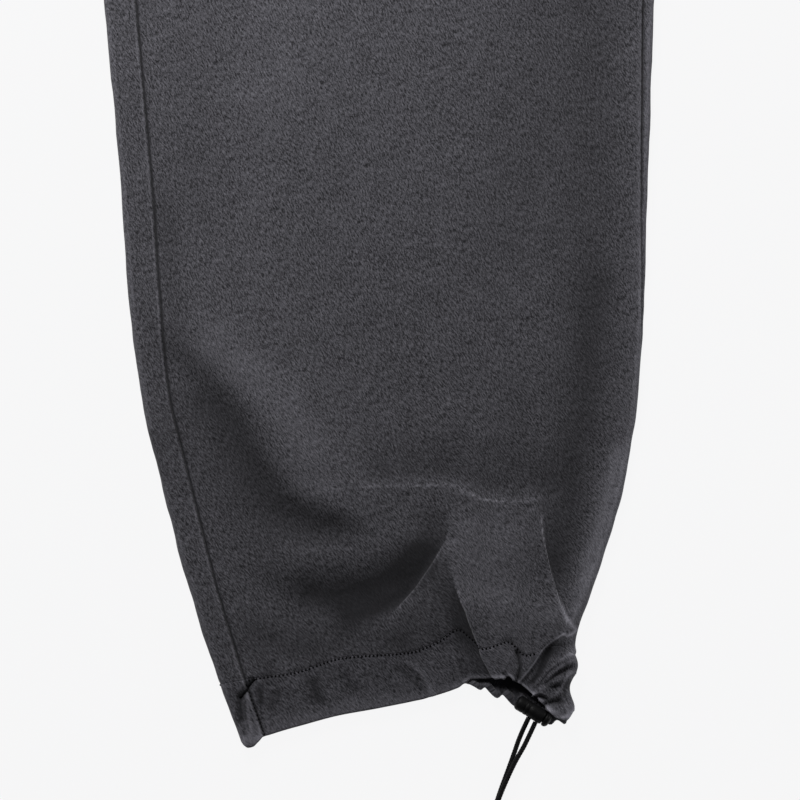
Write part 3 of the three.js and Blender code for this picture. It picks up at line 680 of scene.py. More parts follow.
def heaved_fold(x, y, leg):
    """Rise, sideways shift, and wear with painted light and shade, of the fold at places on the leg's front.
    """
    at = y + leg["shift"]
    half = EDGE_WIDTH / 2
    slope = read(FOLD_CREASE, x + 0.5) - read(FOLD_CREASE, x - 0.5)
    below = (read(FOLD_CREASE, x) - at) / np.sqrt(1 + slope ** 2)
    within, outward = edge_distance(OUTER_EDGE, x, at, 1)
    inside, inward = edge_distance(INNER_EDGE, x, at, -1)
    pleated, pleat_out = edge_distance(PLEAT_EDGE, x, at, -1)

    sharp = smooth(at, 76, 92) * (1 - smooth(at, 108, 130))
    inner_width = mix(14, half, sharp)
    low = smooth(at, 18, 60)
    crease = 0.38 * smooth(below, -0.7, 0.7) + 0.62 * smooth(below, 0, 30)
    body = crease * smooth(inside, -inner_width, inner_width) * low * mix(0.5, 1, smooth(at, 58, 86))
    step = 0.22 * smooth(below, -0.7, 0.7) * np.exp(-np.maximum(below, 0) / 12) * smooth(x, 170, 225)
    body = np.maximum(body, step * (1 - smooth(inside, -8, 8)))
    pleat_fade = 1 - smooth(at, 80, 104)
    pleat = smooth(pleated, -half, half) * pleat_fade * np.exp(-np.maximum(pleated, 0) / 20)
    held = smooth(within, -half, half)
    rise = leg["lift"] * held * (FOLD_RISE * body + PLEAT_RISE * pleat)

    high = smooth(at, 112, 138)
    outer_lip = lip(within, (1 - high) * smooth(at, 72, 90))
    inner_lip = lip(inside, sharp * smooth(within, 0, 8))
    pleat_lip = lip(pleated, pleat_fade * smooth(at, 36, 46))
    shift = [outer_lip * outward[k] + inner_lip * inward[k] + pleat_lip * pleat_out[k] for k in (0, 1)]

    # Paler line along the crease: wear and painted highlight.
    crease_wear_and_highlight = rim(below, 0.42) * smooth(x, 165, 215) * (1 - smooth(x, 280, 292))
    painted_light_and_wear = np.maximum.reduce([
        RIMS["outer"] * rim(within, 0.7) * (1 - smooth(at, 134, 146)) * smooth(at, 34, 42),
        RIMS["inner"] * rim(inside) * sharp * (within > 0),
        RIMS["pleat"] * rim(pleated) * pleat_fade,
        RIMS["crease"] * crease_wear_and_highlight,
    ])
    # Painted shade in the hollows beside the fold's edges, and painted light on its top.
    beside_outer = np.exp(-np.maximum(-within, 0) / 9) * (within < 0) * (1 - high) * smooth(at, 66, 84)
    low_beside = bell(np.maximum(-within, 0), 7) * (within < 0)
    low_beside = low_beside * smooth(at, 38, 48) * (1 - smooth(at, 66, 76))
    beside_pleat = bell(np.maximum(-pleated, 0), 13) * (pleated < 0) * (within > 0)
    beside_pleat = beside_pleat * (1 - smooth(at, 96, 124))
    beside_inner = bell(np.maximum(-inside, 0), 22) * (inside < 0) * smooth(at, 76, 92)
    beside_inner = beside_inner * (1 - smooth(at, 128, 150))
    between = smooth(inside, 0, 10) * (pleated < 0) * smooth(at, 50, 70) * (1 - smooth(at, 84, 110))
    on_pleat = bell(pleated - 7, 6) * pleat_fade * smooth(at, 60, 68)
    shares = (beside_outer, low_beside, beside_pleat, beside_inner, between, on_pleat, held * body)
    shade = sum(tone * share for tone, share in zip(SHADES.values(), shares))
    return rise, shift, painted_light_and_wear + shade


# %% Small folds round the pull of the cord and the seams' lower ends
# The tone column is painted light and shade: pockets, slits, drags and hollows are painted dark as shade, and
# rims, lips, lobes and the crossing of the edges are painted pale as highlights.
GATHERS = [
    ("upper fold", 1.2, 6, 5, 0.45, [(320, 58), (315, 55), (308, 49)]),
    ("crossing of the edges", 0, 1.8, 1.8, 1.0,
     [(313.4, 67.6), (317, 68.4), (321.4, 69.4), (317.8, 74), (315, 79)]),
    ("light along the calf", 0, 12, 18, 0.46,
     [(345, 176), (338.5, 148), (331.5, 124), (323.5, 100), (317.5, 83)]),
    ("shade on the inner turn", 0, 14, 14, -0.4, [(66, 184), (71, 166)]),
    ("pocket", 0, 6, 6, -0.45, [(314, 62.5), (308, 61), (303, 57)]),
    ("pocket's crease", -0.9, 3.2, 3.2, -1.15, [(305, 58.4), (301, 51), (298.6, 45), (294.6, 39.6)]),
    ("first fine ridge", 0.7, 1.8, 1.8, 0.3, [(317, 56.6), (306, 49), (296.2, 37.4)]),
    ("first fine dip", -0.7, 1.6, 1.6, -0.5, [(313, 52.6), (305, 46.4), (297, 36.6)]),
    ("second fine ridge", 0.7, 1.8, 1.8, 0.3, [(318, 52.4), (308, 45.8), (298, 36)]),
    ("band", -1.6, 3, 3, -0.6, [(318, 48.6), (311, 45), (302.3, 39)]),
    ("third ridge", 1.4, 3, 3, 0.2, [(319, 45), (308.6, 40.6), (299.6, 34.4)]),
    ("upper slit", -2.0, 2.4, 2.4, -1.0, [(304, 36.9), (311, 37.2)]),
    ("outer hollow", -1.2, 4, 4, -0.75, [(316, 39), (313, 34), (314, 31)]),
    ("lip", 1.2, 1.8, 1.8, 0.5, [(294.6, 32.4), (298.6, 33.6), (303, 32)]),
    ("slit under the lip", -1.4, 1.6, 1.6, -0.9, [(294.6, 30.2), (298.6, 31), (303, 29.8)]),
    ("lower slit", -2.2, 2.6, 2.6, -1.0, [(302.3, 26.4), (306.2, 27.6), (311, 28.6)]),
    ("rim between the slits", 0.3, 1.5, 1.5, 0.6,
     [(304.5, 29.2), (307.6, 31), (311, 35.5), (315.5, 43.4)]),
    ("rim of the lower lobe", 0, 1.5, 1.5, 0.9,
     [(303, 21.5), (306.5, 18.4), (312, 18.1), (315.7, 20.3)]),
    ("lower lobe", 1.2, 5, 5, 0.4, [(303, 22.6), (308, 22), (313.6, 23.4)]),
    ("sunk crease", -2.0, 2.6, 2.6, -1.2, [(285, 57), (286.6, 52.8), (287, 46.8), (284.9, 40)]),
    ("head of the sunk crease", -0.8, 6, 6, -0.3, [(280, 64), (284, 60), (287, 56)]),
    ("curled notch", -1.2, 1.8, 1.8, -0.8, [(277, 44.6), (279, 43)]),
    ("casing crease", 1.6, 5, 2.6, 0.25, [(219, 51), (227, 44), (231.6, 37.2), (233.6, 31.8)]),
    ("beside the casing crease", -0.8, 4, 7, -0.3, [(214, 47), (222, 40), (227.6, 34)]),
    ("casing pinch", 1.2, 3, 2, 0.25, [(247.7, 53.4), (249.2, 45.6), (250.8, 41)]),
    ("beside the casing pinch", -0.8, 2.4, 2.4, -0.4, [(251, 52), (252.6, 45), (254.6, 42)]),
    ("sewn end of the inseam", -1.2, 4, 4, -0.9, [(126, 40.4), (123.6, 36.4), (119, 31)]),
    ("top of the wedge", 0.6, 2.4, 2.4, 0.5, [(123.4, 31), (123.6, 22)]),
    ("wedge", 0.7, 4.4, 4.4, 0.5, [(124.4, 19), (125.2, 9)]),
    ("rounded tip", 0.3, 5, 5, 0.5, [(122, 5), (130, 5)]),
    ("hollow beside the wedge", -1.0, 4, 5, -0.9, [(119.2, 30), (119.4, 17)]),
    ("first drag", -0.9, 5, 5, -0.9, [(130.4, 35), (132, 27)]),
    ("second drag", -0.9, 6, 6, -0.5, [(141, 32), (138, 24)]),
    ("third drag", -1.0, 9, 9, -0.8, [(163, 38), (166, 29)]),
    ("fourth drag", -1.0, 8, 8, -0.4, [(182, 42), (187, 34)]),
]


# Faint waves of the whole cloth: height, length, the way they run and where they start.
WAVES = [
    (0.16, 61, 0.4, 1.0), (0.13, 43, 1.9, 2.2), (0.10, 29, 2.7, 0.3), (0.08, 19, 0.9, 4.0),
    (0.05, 12, 2.2, 5.1),
]


def gathers(x, y, leg):
    """Height and painted light and shade of the small folds."""
    height, tone = relief(GATHERS, x, y)
    return leg["lift"] * height, tone


def uneven(x, y):
    """A faint unevenness of the whole cloth."""
    total = 0
    for height, length, turn, start in WAVES:
        lean = x * math.cos(turn) + y * math.sin(turn)
        side = x * math.sin(turn) - y * math.cos(turn)
        total = total + height * np.sin(lean * 2 * np.pi / length + start + 1.4 * np.sin(side / length))
    return total


def waist_gathers(x, y):
    """Fine pleats under the elastic waistband, run out over the hip."""
    reach = smooth(y, WAIST_SEAM - 150, WAIST_SEAM)
    wobble = 0.9 * np.sin(x / 23) + 0.6 * np.sin(x / 9.5 + 1)
    fine = np.cos(x * 2 * np.pi / 17 + wobble) * reach ** 2
    return reach * (0.9 * np.cos(x * 2 * np.pi / 42) + 0.8 * fine)


# %% [markdown]
# ## The flattened tube
#
# A place on the tube is the distance round its section, from the inner edge over the top to
# the outer edge and back underneath, and the height up the leg. `tube` turns such places
# into points. Then the small forms are added along the cloth's own normals, so that they
# carry on round the rolled edges: the seams, the gathers, the sewn line of the casing.

# %% Points of the tube
LEAST_TOP = 4.2
# The waist pleats' crests are painted lighter and their troughs darker, as light and shade.
PLEAT_TONE = 0.16
LIGHT_AND_WEAR_RANGE = (-1, 1.4)
PILE = 0.3
# Rolled edges are rubbed paler as wear and painted paler as a highlight, most along the calf.
EDGE_WEAR_AND_HIGHLIGHT = {"all round": 0.35, "calf": 0.24, "calf_width": 6.0}


def front_top(x, y, ends, leg):
    """Height, sideways shift, and wear with painted light and shade, of the front layer at (x, y)."""
    from_inner, from_outer = x - ends["inner_top"], ends["outer_top"] - x
    edges = ends["inner_rise"] * np.exp(-np.maximum(from_inner, 0) / PUFF)
    edges = edges + ends["outer_rise"] * np.exp(-np.maximum(from_outer, 0) / PUFF)
    clear = smooth(from_inner, 0, 12) * smooth(from_outer, 0, 10)
    rise, shift, painted_light_and_wear = heaved_fold(x, y, leg)
    swell, tone = relief(SWELLS, x, y + leg["shift"])
    small, small_tone = gathers(x, y, leg)
    body = smooth(from_inner, *BODY_SWELL["inner"]) * smooth(from_outer, *BODY_SWELL["outer"])
    swell = swell + BODY_SWELL["height"] * body * smooth(y, 90, 190)
    pleats = waist_gathers(x, y)
    high = FLAT_TOP + edges + clear * (rise + swell + pleats) + small
    over = high - LEAST_TOP
    high = LEAST_TOP + np.where(over > 1, over, np.exp(np.minimum(over, 1) - 1))
    # Painted highlight along the calf's outer edge; the tones of swells, pleats and small folds are painted
    # light and shade.
    calf = smooth(y, 84, 110) * bell(from_outer, EDGE_WEAR_AND_HIGHLIGHT["calf_width"])
    near = smooth(from_inner, 0, 6) * smooth(from_outer, -1, 3)
    painted_light_and_wear = near * painted_light_and_wear + clear * (tone + PLEAT_TONE * pleats) + small_tone + EDGE_WEAR_AND_HIGHLIGHT["calf"] * calf
    return high, [clear * s for s in shift], painted_light_and_wear


def joined(y):
    """The share of the inner turn that is left: above the crotch the legs are sewn into one."""
    return mix(1, JOINED_TURN, smooth(y, CROTCH - 50, CROTCH))


def tube_ends(inner, outer, ri, ro, turn_width):
    """Where the plain top begins and ends, and how far the rolled edges stand above it."""
    return {
        "inner_top": inner + turn_width, "outer_top": outer - ro,
        "inner_rise": 2 * ri - FLAT_TOP, "outer_rise": 2 * ro - FLAT_TOP,
    }


def tube(leg, y_inner, y_outer, lobes, y_top, y_back, distance_of):
    """Points, cloth places, and wear with painted light and shade, at distances round the tube, one row for
    each section.
    """
    ri, ro = inner_top(y_inner) / 2, outer_top(y_outer) / 2
    inner = leg_value(y_inner, "inner") - PILE * joined(y_top(0.0))
    outer = leg_value(y_outer, "outer") + lobes + PILE
    turn_width = ri * joined(y_top(0.0))
    ends = tube_ends(inner, outer, ri, ro, turn_width)
    inner_arc, outer_arc = ri * np.pi / 2, ro * np.pi / 2
    straight = ends["outer_top"] - ends["inner_top"]
    half = inner_arc + straight + outer_arc
    d = distance_of(half, outer_arc, inner_arc)

    once = np.where(d > 2 * half, d - 2 * half, d)
    turn_in = np.where(once > half, once - 2 * half, once) / ri
    turn_out = (half - once) / ro
    on_inner = (once < inner_arc) | (once > half + outer_arc + straight)
    on_outer = (once > inner_arc + straight) & (once < half + outer_arc)
    on_top = (once >= inner_arc) & (once <= inner_arc + straight)
    x = np.where(on_top, ends["inner_top"] + once - inner_arc, ends["outer_top"] - (once - half - outer_arc))
    x = np.where(on_inner, ends["inner_top"] - turn_width * np.cos(turn_in), x)
    x = np.where(on_outer, ends["outer_top"] + ro * np.cos(turn_out), x)
    across = np.clip((x - inner) / (outer - inner), 0, 1)
    upper = np.where(on_inner, turn_in >= 0, on_top) | (on_outer & (once <= half))
    y = np.where(upper, y_top(across), y_back(across))
    top, shift, painted_light_and_wear = front_top(x, y, ends, leg)
    small, small_tone = gathers(x, y, leg)
    puffed = ro + small * smooth(np.sin(turn_out), -0.3, 0.6)
    x = np.where(on_outer, ends["outer_top"] + puffed * np.cos(turn_out), x)
    z = np.where(on_top, top, 0.0)
    z = np.where(on_inner, ri + ri * np.sin(turn_in), z)
    z = np.where(on_outer, ro + puffed * np.sin(turn_out), z)
    points = np.stack([x + on_top * shift[0], y + on_top * shift[1], z], 2)
    # The rolled edges are rubbed paler and painted paler as a highlight, with the small folds' painted light
    # and shade.
    wear_and_highlight = EDGE_WEAR_AND_HIGHLIGHT["all round"] + on_outer * EDGE_WEAR_AND_HIGHLIGHT["calf"] * smooth(y, 84, 110)
    rolled = (on_inner | on_outer) * smooth(z, 0.5, 3) * (wear_and_highlight + small_tone)
    return points, np.stack([once, y], 2), on_top * painted_light_and_wear + rolled, half, upper


# %% Small forms along the normals
def seam_form(s):
    """Height beside a side seam: s is the distance from it, and the layer on top is below 0."""
    over = 0.75 * bell(s, 9) * (1 - bell(s, 0.9)) - 0.45 * bell(s, 0.7)
    under = -0.6 * bell(s, 1.5)
    return np.where(s < 0, over, under)


def seam_wear_and_highlight(s):
    """The allowance's ridge is rubbed pale and painted pale as a highlight, and the seam beside it is dark.
    """
    return 0.5 * bell(s + 1.3, 0.8) - 1.4 * bell(s - 0.2, 0.8)


def puckers(along):
    """The uneven little drag folds that a sewn line leaves, by distance along it."""
    slow = np.sin(along / 13 + 1.9) + np.sin(along / 31 + 0.4)
    quick = np.sin(along / 2.9 + 2.1 * slow) * (0.6 + 0.4 * np.sin(along / 17))
    return 0.5 * quick + 0.35 * np.sin(along / 6.3 + 1.3 * slow)


def small_forms(points, place, upper, seams, stitch_distance, leg):
    """Displacement along the normals, and the wear and painted light and shade that go with it."""
    x, y, z = np.moveaxis(points, 2, 0)
    on_upper = smooth(z, 1.0, 4.0) * upper
    lift = uneven(x + 90 * leg["side"], y) * smooth(z, 0.5, 3)
    painted_light_and_wear = np.zeros_like(x)
    for s, shows in seams:
        lift = lift + seam_form(s) * shows
        painted_light_and_wear = painted_light_and_wear + seam_wear_and_highlight(s) * shows
    joined_here = smooth(y, CROTCH, CROTCH + 20)
    centre = -leg["side"] * x
    lift = lift + seam_form(centre) * joined_here
    painted_light_and_wear = painted_light_and_wear + seam_wear_and_highlight(centre) * joined_here
    away = np.abs(stitch_distance)
    line = smooth(22 - away, 0, 22) ** 2
    pucker = puckers(place[..., 0])
    lift = lift + on_upper * line * 0.5 * pucker
    lift = lift - 0.25 * bell(away, 1.1) * smooth(z, 0.5, 3)
    # The puckers' crests are painted paler and their dips darker, as light and shade.
    return lift, (painted_light_and_wear + 0.22 * line * pucker) * upper


# %% [markdown]
# ## Panels of the legs
#
# A panel is cut flat, with its grain up the leg. Its rows follow the casing's stitching at
# the bottom and level out towards the waist. Points are set close where folds and seams
# need them, and far apart where the cloth is plain.

# %% Rows and columns
CASING_LOW, CASING_HIGH = CASING_TOP[0][1], CASING_TOP[-1][1]


def steps(start, *stops):
    """Places from a start through (stop, count) pairs, evenly within each."""
    places = [np.array([start], float)]
    for stop, count in stops:
        places.append(np.linspace(places[-1][-1], stop, count + 1)[1:])
    return np.concatenate(places)


PANEL_ROWS = steps(
    CASING_LOW, (40.4, 4), (130, 74), (144, 10), (162, 24), (180, 10), (262, 24), (WAIST_SEAM, 90),
)
FRONT_COLUMNS = steps(0, (0.003, 3), (0.022, 6), (0.40, 34), (0.975, 108), (1, 7))


def back_distances(half, outer_arc, inner_arc, inseam, outseam, counts):
    """Distances round the back panel, from the outseam under the leg to the inseam."""
    start, end = half - outseam, 2 * half + inseam
    roll = np.maximum(half + outer_arc, start) + 2
    turn = 2 * half - inner_arc - 2
    shares = [np.linspace(0, 1, count + 1) for count in counts]
    runs = [mix(start, roll, shares[0]), mix(roll, turn, shares[1])[:, 1:]]
    runs += [mix(turn, end - 5, shares[2])[:, 1:], mix(end - 5, end, 1 - (1 - shares[3]) ** 2)[:, 1:]]
    return np.concatenate(runs, 1)


def seam_places(distance, half, inseam, outseam):
    """For each side seam, the distance from it and where it shows. The layer on top is below 0."""
    from_inseam = np.where(distance > half, distance - 2 * half, distance) - inseam
    from_outseam = distance - (half - outseam)
    return [
        (from_inseam, smooth(inseam, 3, 9) * np.ones_like(distance)),
        (from_outseam, smooth(outseam, 1, 5) * np.ones_like(distance)),
    ]


def panel_sheet(leg, part):
    """The front or back panel of a leg, from the casing's stitching to the waistband."""
    share = ((PANEL_ROWS - CASING_LOW) / (WAIST_SEAM - CASING_LOW))[:, None]
    y_inner, y_outer = mix(CASING_LOW, WAIST_SEAM, share), mix(CASING_HIGH, WAIST_SEAM, share)
    inseam, outseam = leg_value(y_inner, "inseam_turn"), leg_value(y_outer, "outseam_turn")

    def distances(half, outer_arc, inner_arc):
        if part == "front":
            return mix(inseam, half - outseam, FRONT_COLUMNS)
        return back_distances(half, outer_arc, inner_arc, inseam, outseam, (10, 24, 22, 7))

    points, place, painted_light_and_wear, half, upper = tube(
        leg, y_inner, y_outer, 0,
        lambda across: mix(read(CASING_TOP, across), WAIST_SEAM, share),
        lambda across: mix(mix(CASING_LOW, CASING_HIGH, across), WAIST_SEAM, share),
        distances,
    )
    sheet = Sheet(points, place, painted_light_and_wear)
    above = share * (WAIST_SEAM - CASING_LOW) * np.ones_like(painted_light_and_wear)
    seams = seam_places(place[..., 0], half, inseam, outseam)
    lift, wear_and_light = small_forms(points, place, upper, seams, above, leg)
    sheet.swell(lift)
    sheet.painted_light_and_wear = np.clip(painted_light_and_wear + wear_and_light, *LIGHT_AND_WEAR_RANGE)
    return sheet


panels = {}
for leg in LEGS:
    for part in ("front", "back"):
        name = f"{part}_cloth_{leg['name']}"
        panels[name] = panel_sheet(leg, part)
        closed_wall(name, panels[name], CLOTH, leg["side"])

# %% [markdown]
# ## Hem casing
#
# The hem is turned up inside and sewn down to make a tunnel for the drawcord, so its lower
# edge is a soft round fold of two plies. It is one ring round the leg. The rows run from
# that edge up to the stitching, and a first few rows round the edge off.

# %% Casing of each leg
# Painted shade in the mouth of the leg: the back of the hem there is painted dark, lighter towards its rim,
# with painted stripes of shade between its lobes.
MOUTH = {"dark": -1, "rim": -0.5, "stripes": 45, "stripe": 0.4, "first lobe": 0.25}
CASING_ROWS = steps(1, (0.93, 3), (0.06, 22), (0, 3))
FRONT_RING = steps(0, (0.004, 4), (0.02, 4), (0.07, 14), (0.12, 10), (0.45, 56), (1.0, 150))
HEM_TURNS = np.radians([82, 62, 42, 22])
# The folded edge is at least this pale: wear and painted highlight.
FOLDED_EDGE_WEAR_AND_HIGHLIGHT = 0.5


def scalloped(across):
    """How far along the gathered part of the hem's back this is, and its wave there."""
    run = (across - SCALLOPS["from"]) / (1 - SCALLOPS["from"])
    return run, np.cos(run * SCALLOPS["count"] * 2 * np.pi)


def back_hem(across):
    run, wave = scalloped(across)
    fade = smooth(run, 0, 0.12) * smooth(1 - run, 0, 0.2)
    return read(BACK_HEM, across) + SCALLOPS["depth"] * fade * wave


def back_curl(across):
    """How far the gathered back of the hem curls up in the mouth of the leg."""
    run, wave = scalloped(across)
    high = mix(0.6, 1, 0.5 - 0.5 * wave)
    return SCALLOPS["curl"] * smooth(run, -0.1, 0.1) * smooth(1 - run, 0.04, 0.2) * high


def casing_sheet(leg):
    """The hem casing as a ring, from its folded edge up to the stitching."""
    drop = CASING_ROWS[:, None]

    def y_top(across):
        return mix(read(CASING_TOP, across), read(FRONT_HEM, across) + CASING_CLOTH / 2, drop)

    def y_back(across):
        return mix(mix(CASING_LOW, CASING_HIGH, across), back_hem(across) + CASING_CLOTH / 2, drop)

    ends = np.zeros_like(drop)
    y_inner, y_outer = y_top(ends), y_top(ends + 1)
    inseam, outseam = leg_value(y_inner, "inseam_turn"), leg_value(y_outer, "outseam_turn")
    lobes = 2 * np.sin(drop * 2.5 * np.pi)

    def distances(half, outer_arc, inner_arc):
        front = mix(inseam, half - outseam, FRONT_RING[:-1])
        back = back_distances(half, outer_arc, inner_arc, inseam, outseam, (18, 150, 30, 9))
        return np.concatenate([front, back], 1)

    points, place, painted_light_and_wear, half, upper = tube(leg, y_inner, y_outer, lobes, y_top, y_back, distances)
    y_span = (leg_value(y_inner, "inner"), leg_value(y_outer, "outer"))
    seams = seam_places(place[..., 0], half, inseam, outseam)
    fall = np.linalg.norm(np.diff(points[..., :2], axis=0), axis=2)
    below = np.concatenate([np.cumsum(fall[::-1], axis=0)[::-1], np.zeros((1, fall.shape[1]))])
    sheet = Sheet(points[:, :-1], place, ring=True)
    lift, wear_and_light = small_forms(points, place, upper, seams, below, leg)
    across = np.clip((points[..., 0] - y_span[0]) / (y_span[1] - y_span[0]), 0, 1)
    in_mouth = (1 - upper) * smooth(across, SCALLOPS["from"] - 0.05, SCALLOPS["from"] + 0.03)
    curl = in_mouth * smooth(drop, 0.74, 0.97) * back_curl(across)
    # Painted shade inside the mouth, weaker at the first lobe, with stripes of painted shade.
    stripes = MOUTH["stripe"] * np.cos(across * (2 * np.pi * MOUTH["stripes"])) * smooth(drop, 0.6, 0.8)
    deep = mix(MOUTH["first lobe"], 1, smooth(across, SCALLOPS["from"] + 0.03, SCALLOPS["from"] + 0.14))
    shade = in_mouth * deep * (mix(MOUTH["dark"], MOUTH["rim"], smooth(drop, 0.78, 0.95)) + stripes)
    sheet.swell(lift[:, :-1])
    sheet.points[..., 2] += curl[:, :-1]
    # The hem's edge is rubbed paler and painted paler as a highlight, most on its outer part.
    wear_and_highlight = upper * mix(0.45, 1.0, smooth(across, 0.62, 0.7))
    wear_and_highlight = wear_and_highlight * smooth(drop, mix(0.6, 0.85, smooth(across, 0.5, 0.7)), 1)
    sheet.painted_light_and_wear = np.clip(painted_light_and_wear + wear_and_light + shade + wear_and_highlight, *LIGHT_AND_WEAR_RANGE)[:, :-1]
    return sheet


def rounded_edge(sheet, thickness):
    """The sheet with its first row turned round a fold of this thickness."""
    normal = sheet.normals()
    outwards = sheet.points[0] - sheet.points[2]
    outwards /= np.linalg.norm(outwards, axis=1, keepdims=True)
    radius = thickness / 2
    core = sheet.points[0] - normal[0] * radius
    turned = [core + radius * (normal[0] * math.cos(t) + outwards * math.sin(t)) for t in HEM_TURNS]
    under = [core + radius * (-normal[0] * math.cos(t) + outwards * math.sin(t)) for t in HEM_TURNS]
    count = len(HEM_TURNS)
    place = np.concatenate([np.repeat(sheet.place[:1], count, 0), sheet.place])
    place[:count, :, 1] -= (radius * HEM_TURNS)[:, None]
    painted_light_and_wear = np.concatenate([np.repeat(sheet.painted_light_and_wear[:1], count, 0), sheet.painted_light_and_wear])
    painted_light_and_wear[:count] = np.maximum(painted_light_and_wear[:count], FOLDED_EDGE_WEAR_AND_HIGHLIGHT)
    made = Sheet(np.concatenate([turned, sheet.points]), place, painted_light_and_wear, sheet.ring)
    made.behind = np.concatenate([under, sheet.points - normal * thickness])
    return made


casings = {}
for leg in LEGS:
    casings[leg["name"]] = rounded_edge(casing_sheet(leg), CASING_CLOTH)
    closed_wall(f"casing_{leg['name']}", casings[leg["name"]], CASING_CLOTH, leg["side"])

# %% [markdown]
# ## Waistband
#
# The top is an elastic waistband: a wide tunnel of two plies with elastic sewn inside, which
# draws the cloth into upright ribs. It is a ring through the upper edges of all four panels,
# so it is built from their last rows, and its ribs are raised along its normals.

# %% Waistband ring
BAND = {"rows": 16, "rib": 7.5, "rib_rise": 0.55, "roll": 0.9, "pale_rib_crests": 0.3}


def waistband_sheet():
    """A ring from the waistband's top edge down to the panels."""
    front, back, far_front, far_back = [
        panels[f"{part}_cloth_{leg['name']}"].points[-1] * (leg["side"], 1, 1)
        for leg in LEGS for part in ("front", "back")
    ]
    ring = np.concatenate([front[:-1], back, far_back[::-1], far_front[-2::-1]])[::-1]
    t = np.linspace(1, 0, BAND["rows"])[:, None]
    narrow = mix(1, leg_value(WAIST_TOP, "outer") / leg_value(WAIST_SEAM, "outer"), t)
    rise = mix(WAIST_SEAM, WAIST_TOP - CASING_CLOTH / 2, t)
    points = np.stack([ring[:, 0] * narrow, rise * np.ones(len(ring)), ring[:, 2] * np.ones_like(t)], 2)
    around = np.concatenate([[0], np.cumsum(np.linalg.norm(np.diff(ring, axis=0), axis=1))])
    place = np.stack([around * np.ones_like(t), points[..., 1]], 2)
    place = np.concatenate([place, place[:, -1:] + (1, 0)], 1)
    wobble = 1.2 * np.sin(around / 31) + 0.7 * np.sin(around / 12 + 1)
    rib = np.cos(around * 2 * np.pi / BAND["rib"] + wobble)
    rows = 0.55 + 0.45 * np.cos(t * 3 * 2 * np.pi) ** 2
    on_top = smooth(points[..., 2], 2, 5)
    sheet = Sheet(points, place, ring=True)
    roll = BAND["roll"] * np.sin(t * np.pi)
    sheet.swell(on_top * (BAND["rib_rise"] * rib * rows * smooth(t, 0, 0.1) + roll))
    # The rib crests are painted paler.
    sheet.painted_light_and_wear = BAND["pale_rib_crests"] * on_top * np.maximum(rib, 0) ** 4
    return sheet


closed_wall("waistband_cloth", rounded_edge(waistband_sheet(), CASING_CLOTH), CASING_CLOTH)

# %% [markdown]
# ## Cargo pocket and flap
#
# Each thigh carries a patch pocket with its flap. They follow the panel under them: each
# point is set off the front panel's own height, and the edge is turned under, so it is round.
# The flap lies on the pocket and comes down to the panel above the pocket's mouth.

# %% Pocket and flap
PATCHES = {
    "pocket": {"width": 165, "low": 500, "high": 690, "corner": 16, "puff": 0.8, "seams": (3.0, 8.5)},
    "flap": {"width": 173, "low": 642, "high": 708, "corner": 9, "puff": 0.5, "seams": (3.0,)},
}
FROM_OUTSEAM = 18
PATCH_THICK = 2.2
TURNED_EDGE = 1.6
# Painted shade along the stitched grooves.
STITCH_GROOVE_SHADE = (3.0, 8.5)


def front_height(x, y, leg):
    """Height of the leg's front at (x, y), on the plain part above the folds."""
    ri, ro = inner_top(y) / 2, outer_top(y) / 2
    ends = tube_ends(leg_value(y, "inner"), leg_value(y, "outer"), ri, ro, ri)
    return front_top(x, y, ends, leg)[0] + uneven(x + 90 * leg["side"], y)


def pocket_frame():
    """The middle of the pocket and the way its side runs, along the outseam."""
    low, high, width = [PATCHES["pocket"][key] for key in ("low", "high", "width")]
    middle = (low + high) / 2
    lean = math.atan2(leg_value(high, "outer") - leg_value(low, "outer"), high - low)
    return float(leg_value(middle, "outer")) - FROM_OUTSEAM - width / 2, middle, lean


def patch_grid(width, low, high, corner, step=2.2):
    """Across, up and distance-from-edge over a patch with rounded lower corners."""
    tall = high - low
    v = steps(0, (3, 6), (corner, 8), (tall - 3, round((tall - corner - 3) / step)), (tall, 6))
    v[0] = 0.05
    cut = np.where(v < corner, corner - np.sqrt(np.maximum(corner ** 2 - (corner - v) ** 2, 0)), 0)
    u = steps(-1, (-0.96, 6), (0.96, round(width / step)), (1, 6))
    across = u[None, :] * (width / 2 - cut)[:, None]
    up = v[:, None] * np.ones_like(across)
    edge = np.minimum.reduce([width / 2 - np.abs(across) - cut[:, None], up, tall - up])
    corner_x = np.abs(across) - (width / 2 - corner)
    in_corner = (corner_x > 0) & (up < corner)
    edge = np.where(in_corner, corner - np.hypot(corner_x, corner - up), edge)
    return across, up + low, np.maximum(edge, 0)


def patch_base(part, y):
    """A patch lies on the panel, but the flap lies on the pocket up to its mouth."""
    mouth = PATCHES["pocket"]["high"]
    return 0.2 + (PATCH_THICK + 0.5) * (1 - smooth(y, mouth, mouth + 8)) * (part == "flap")


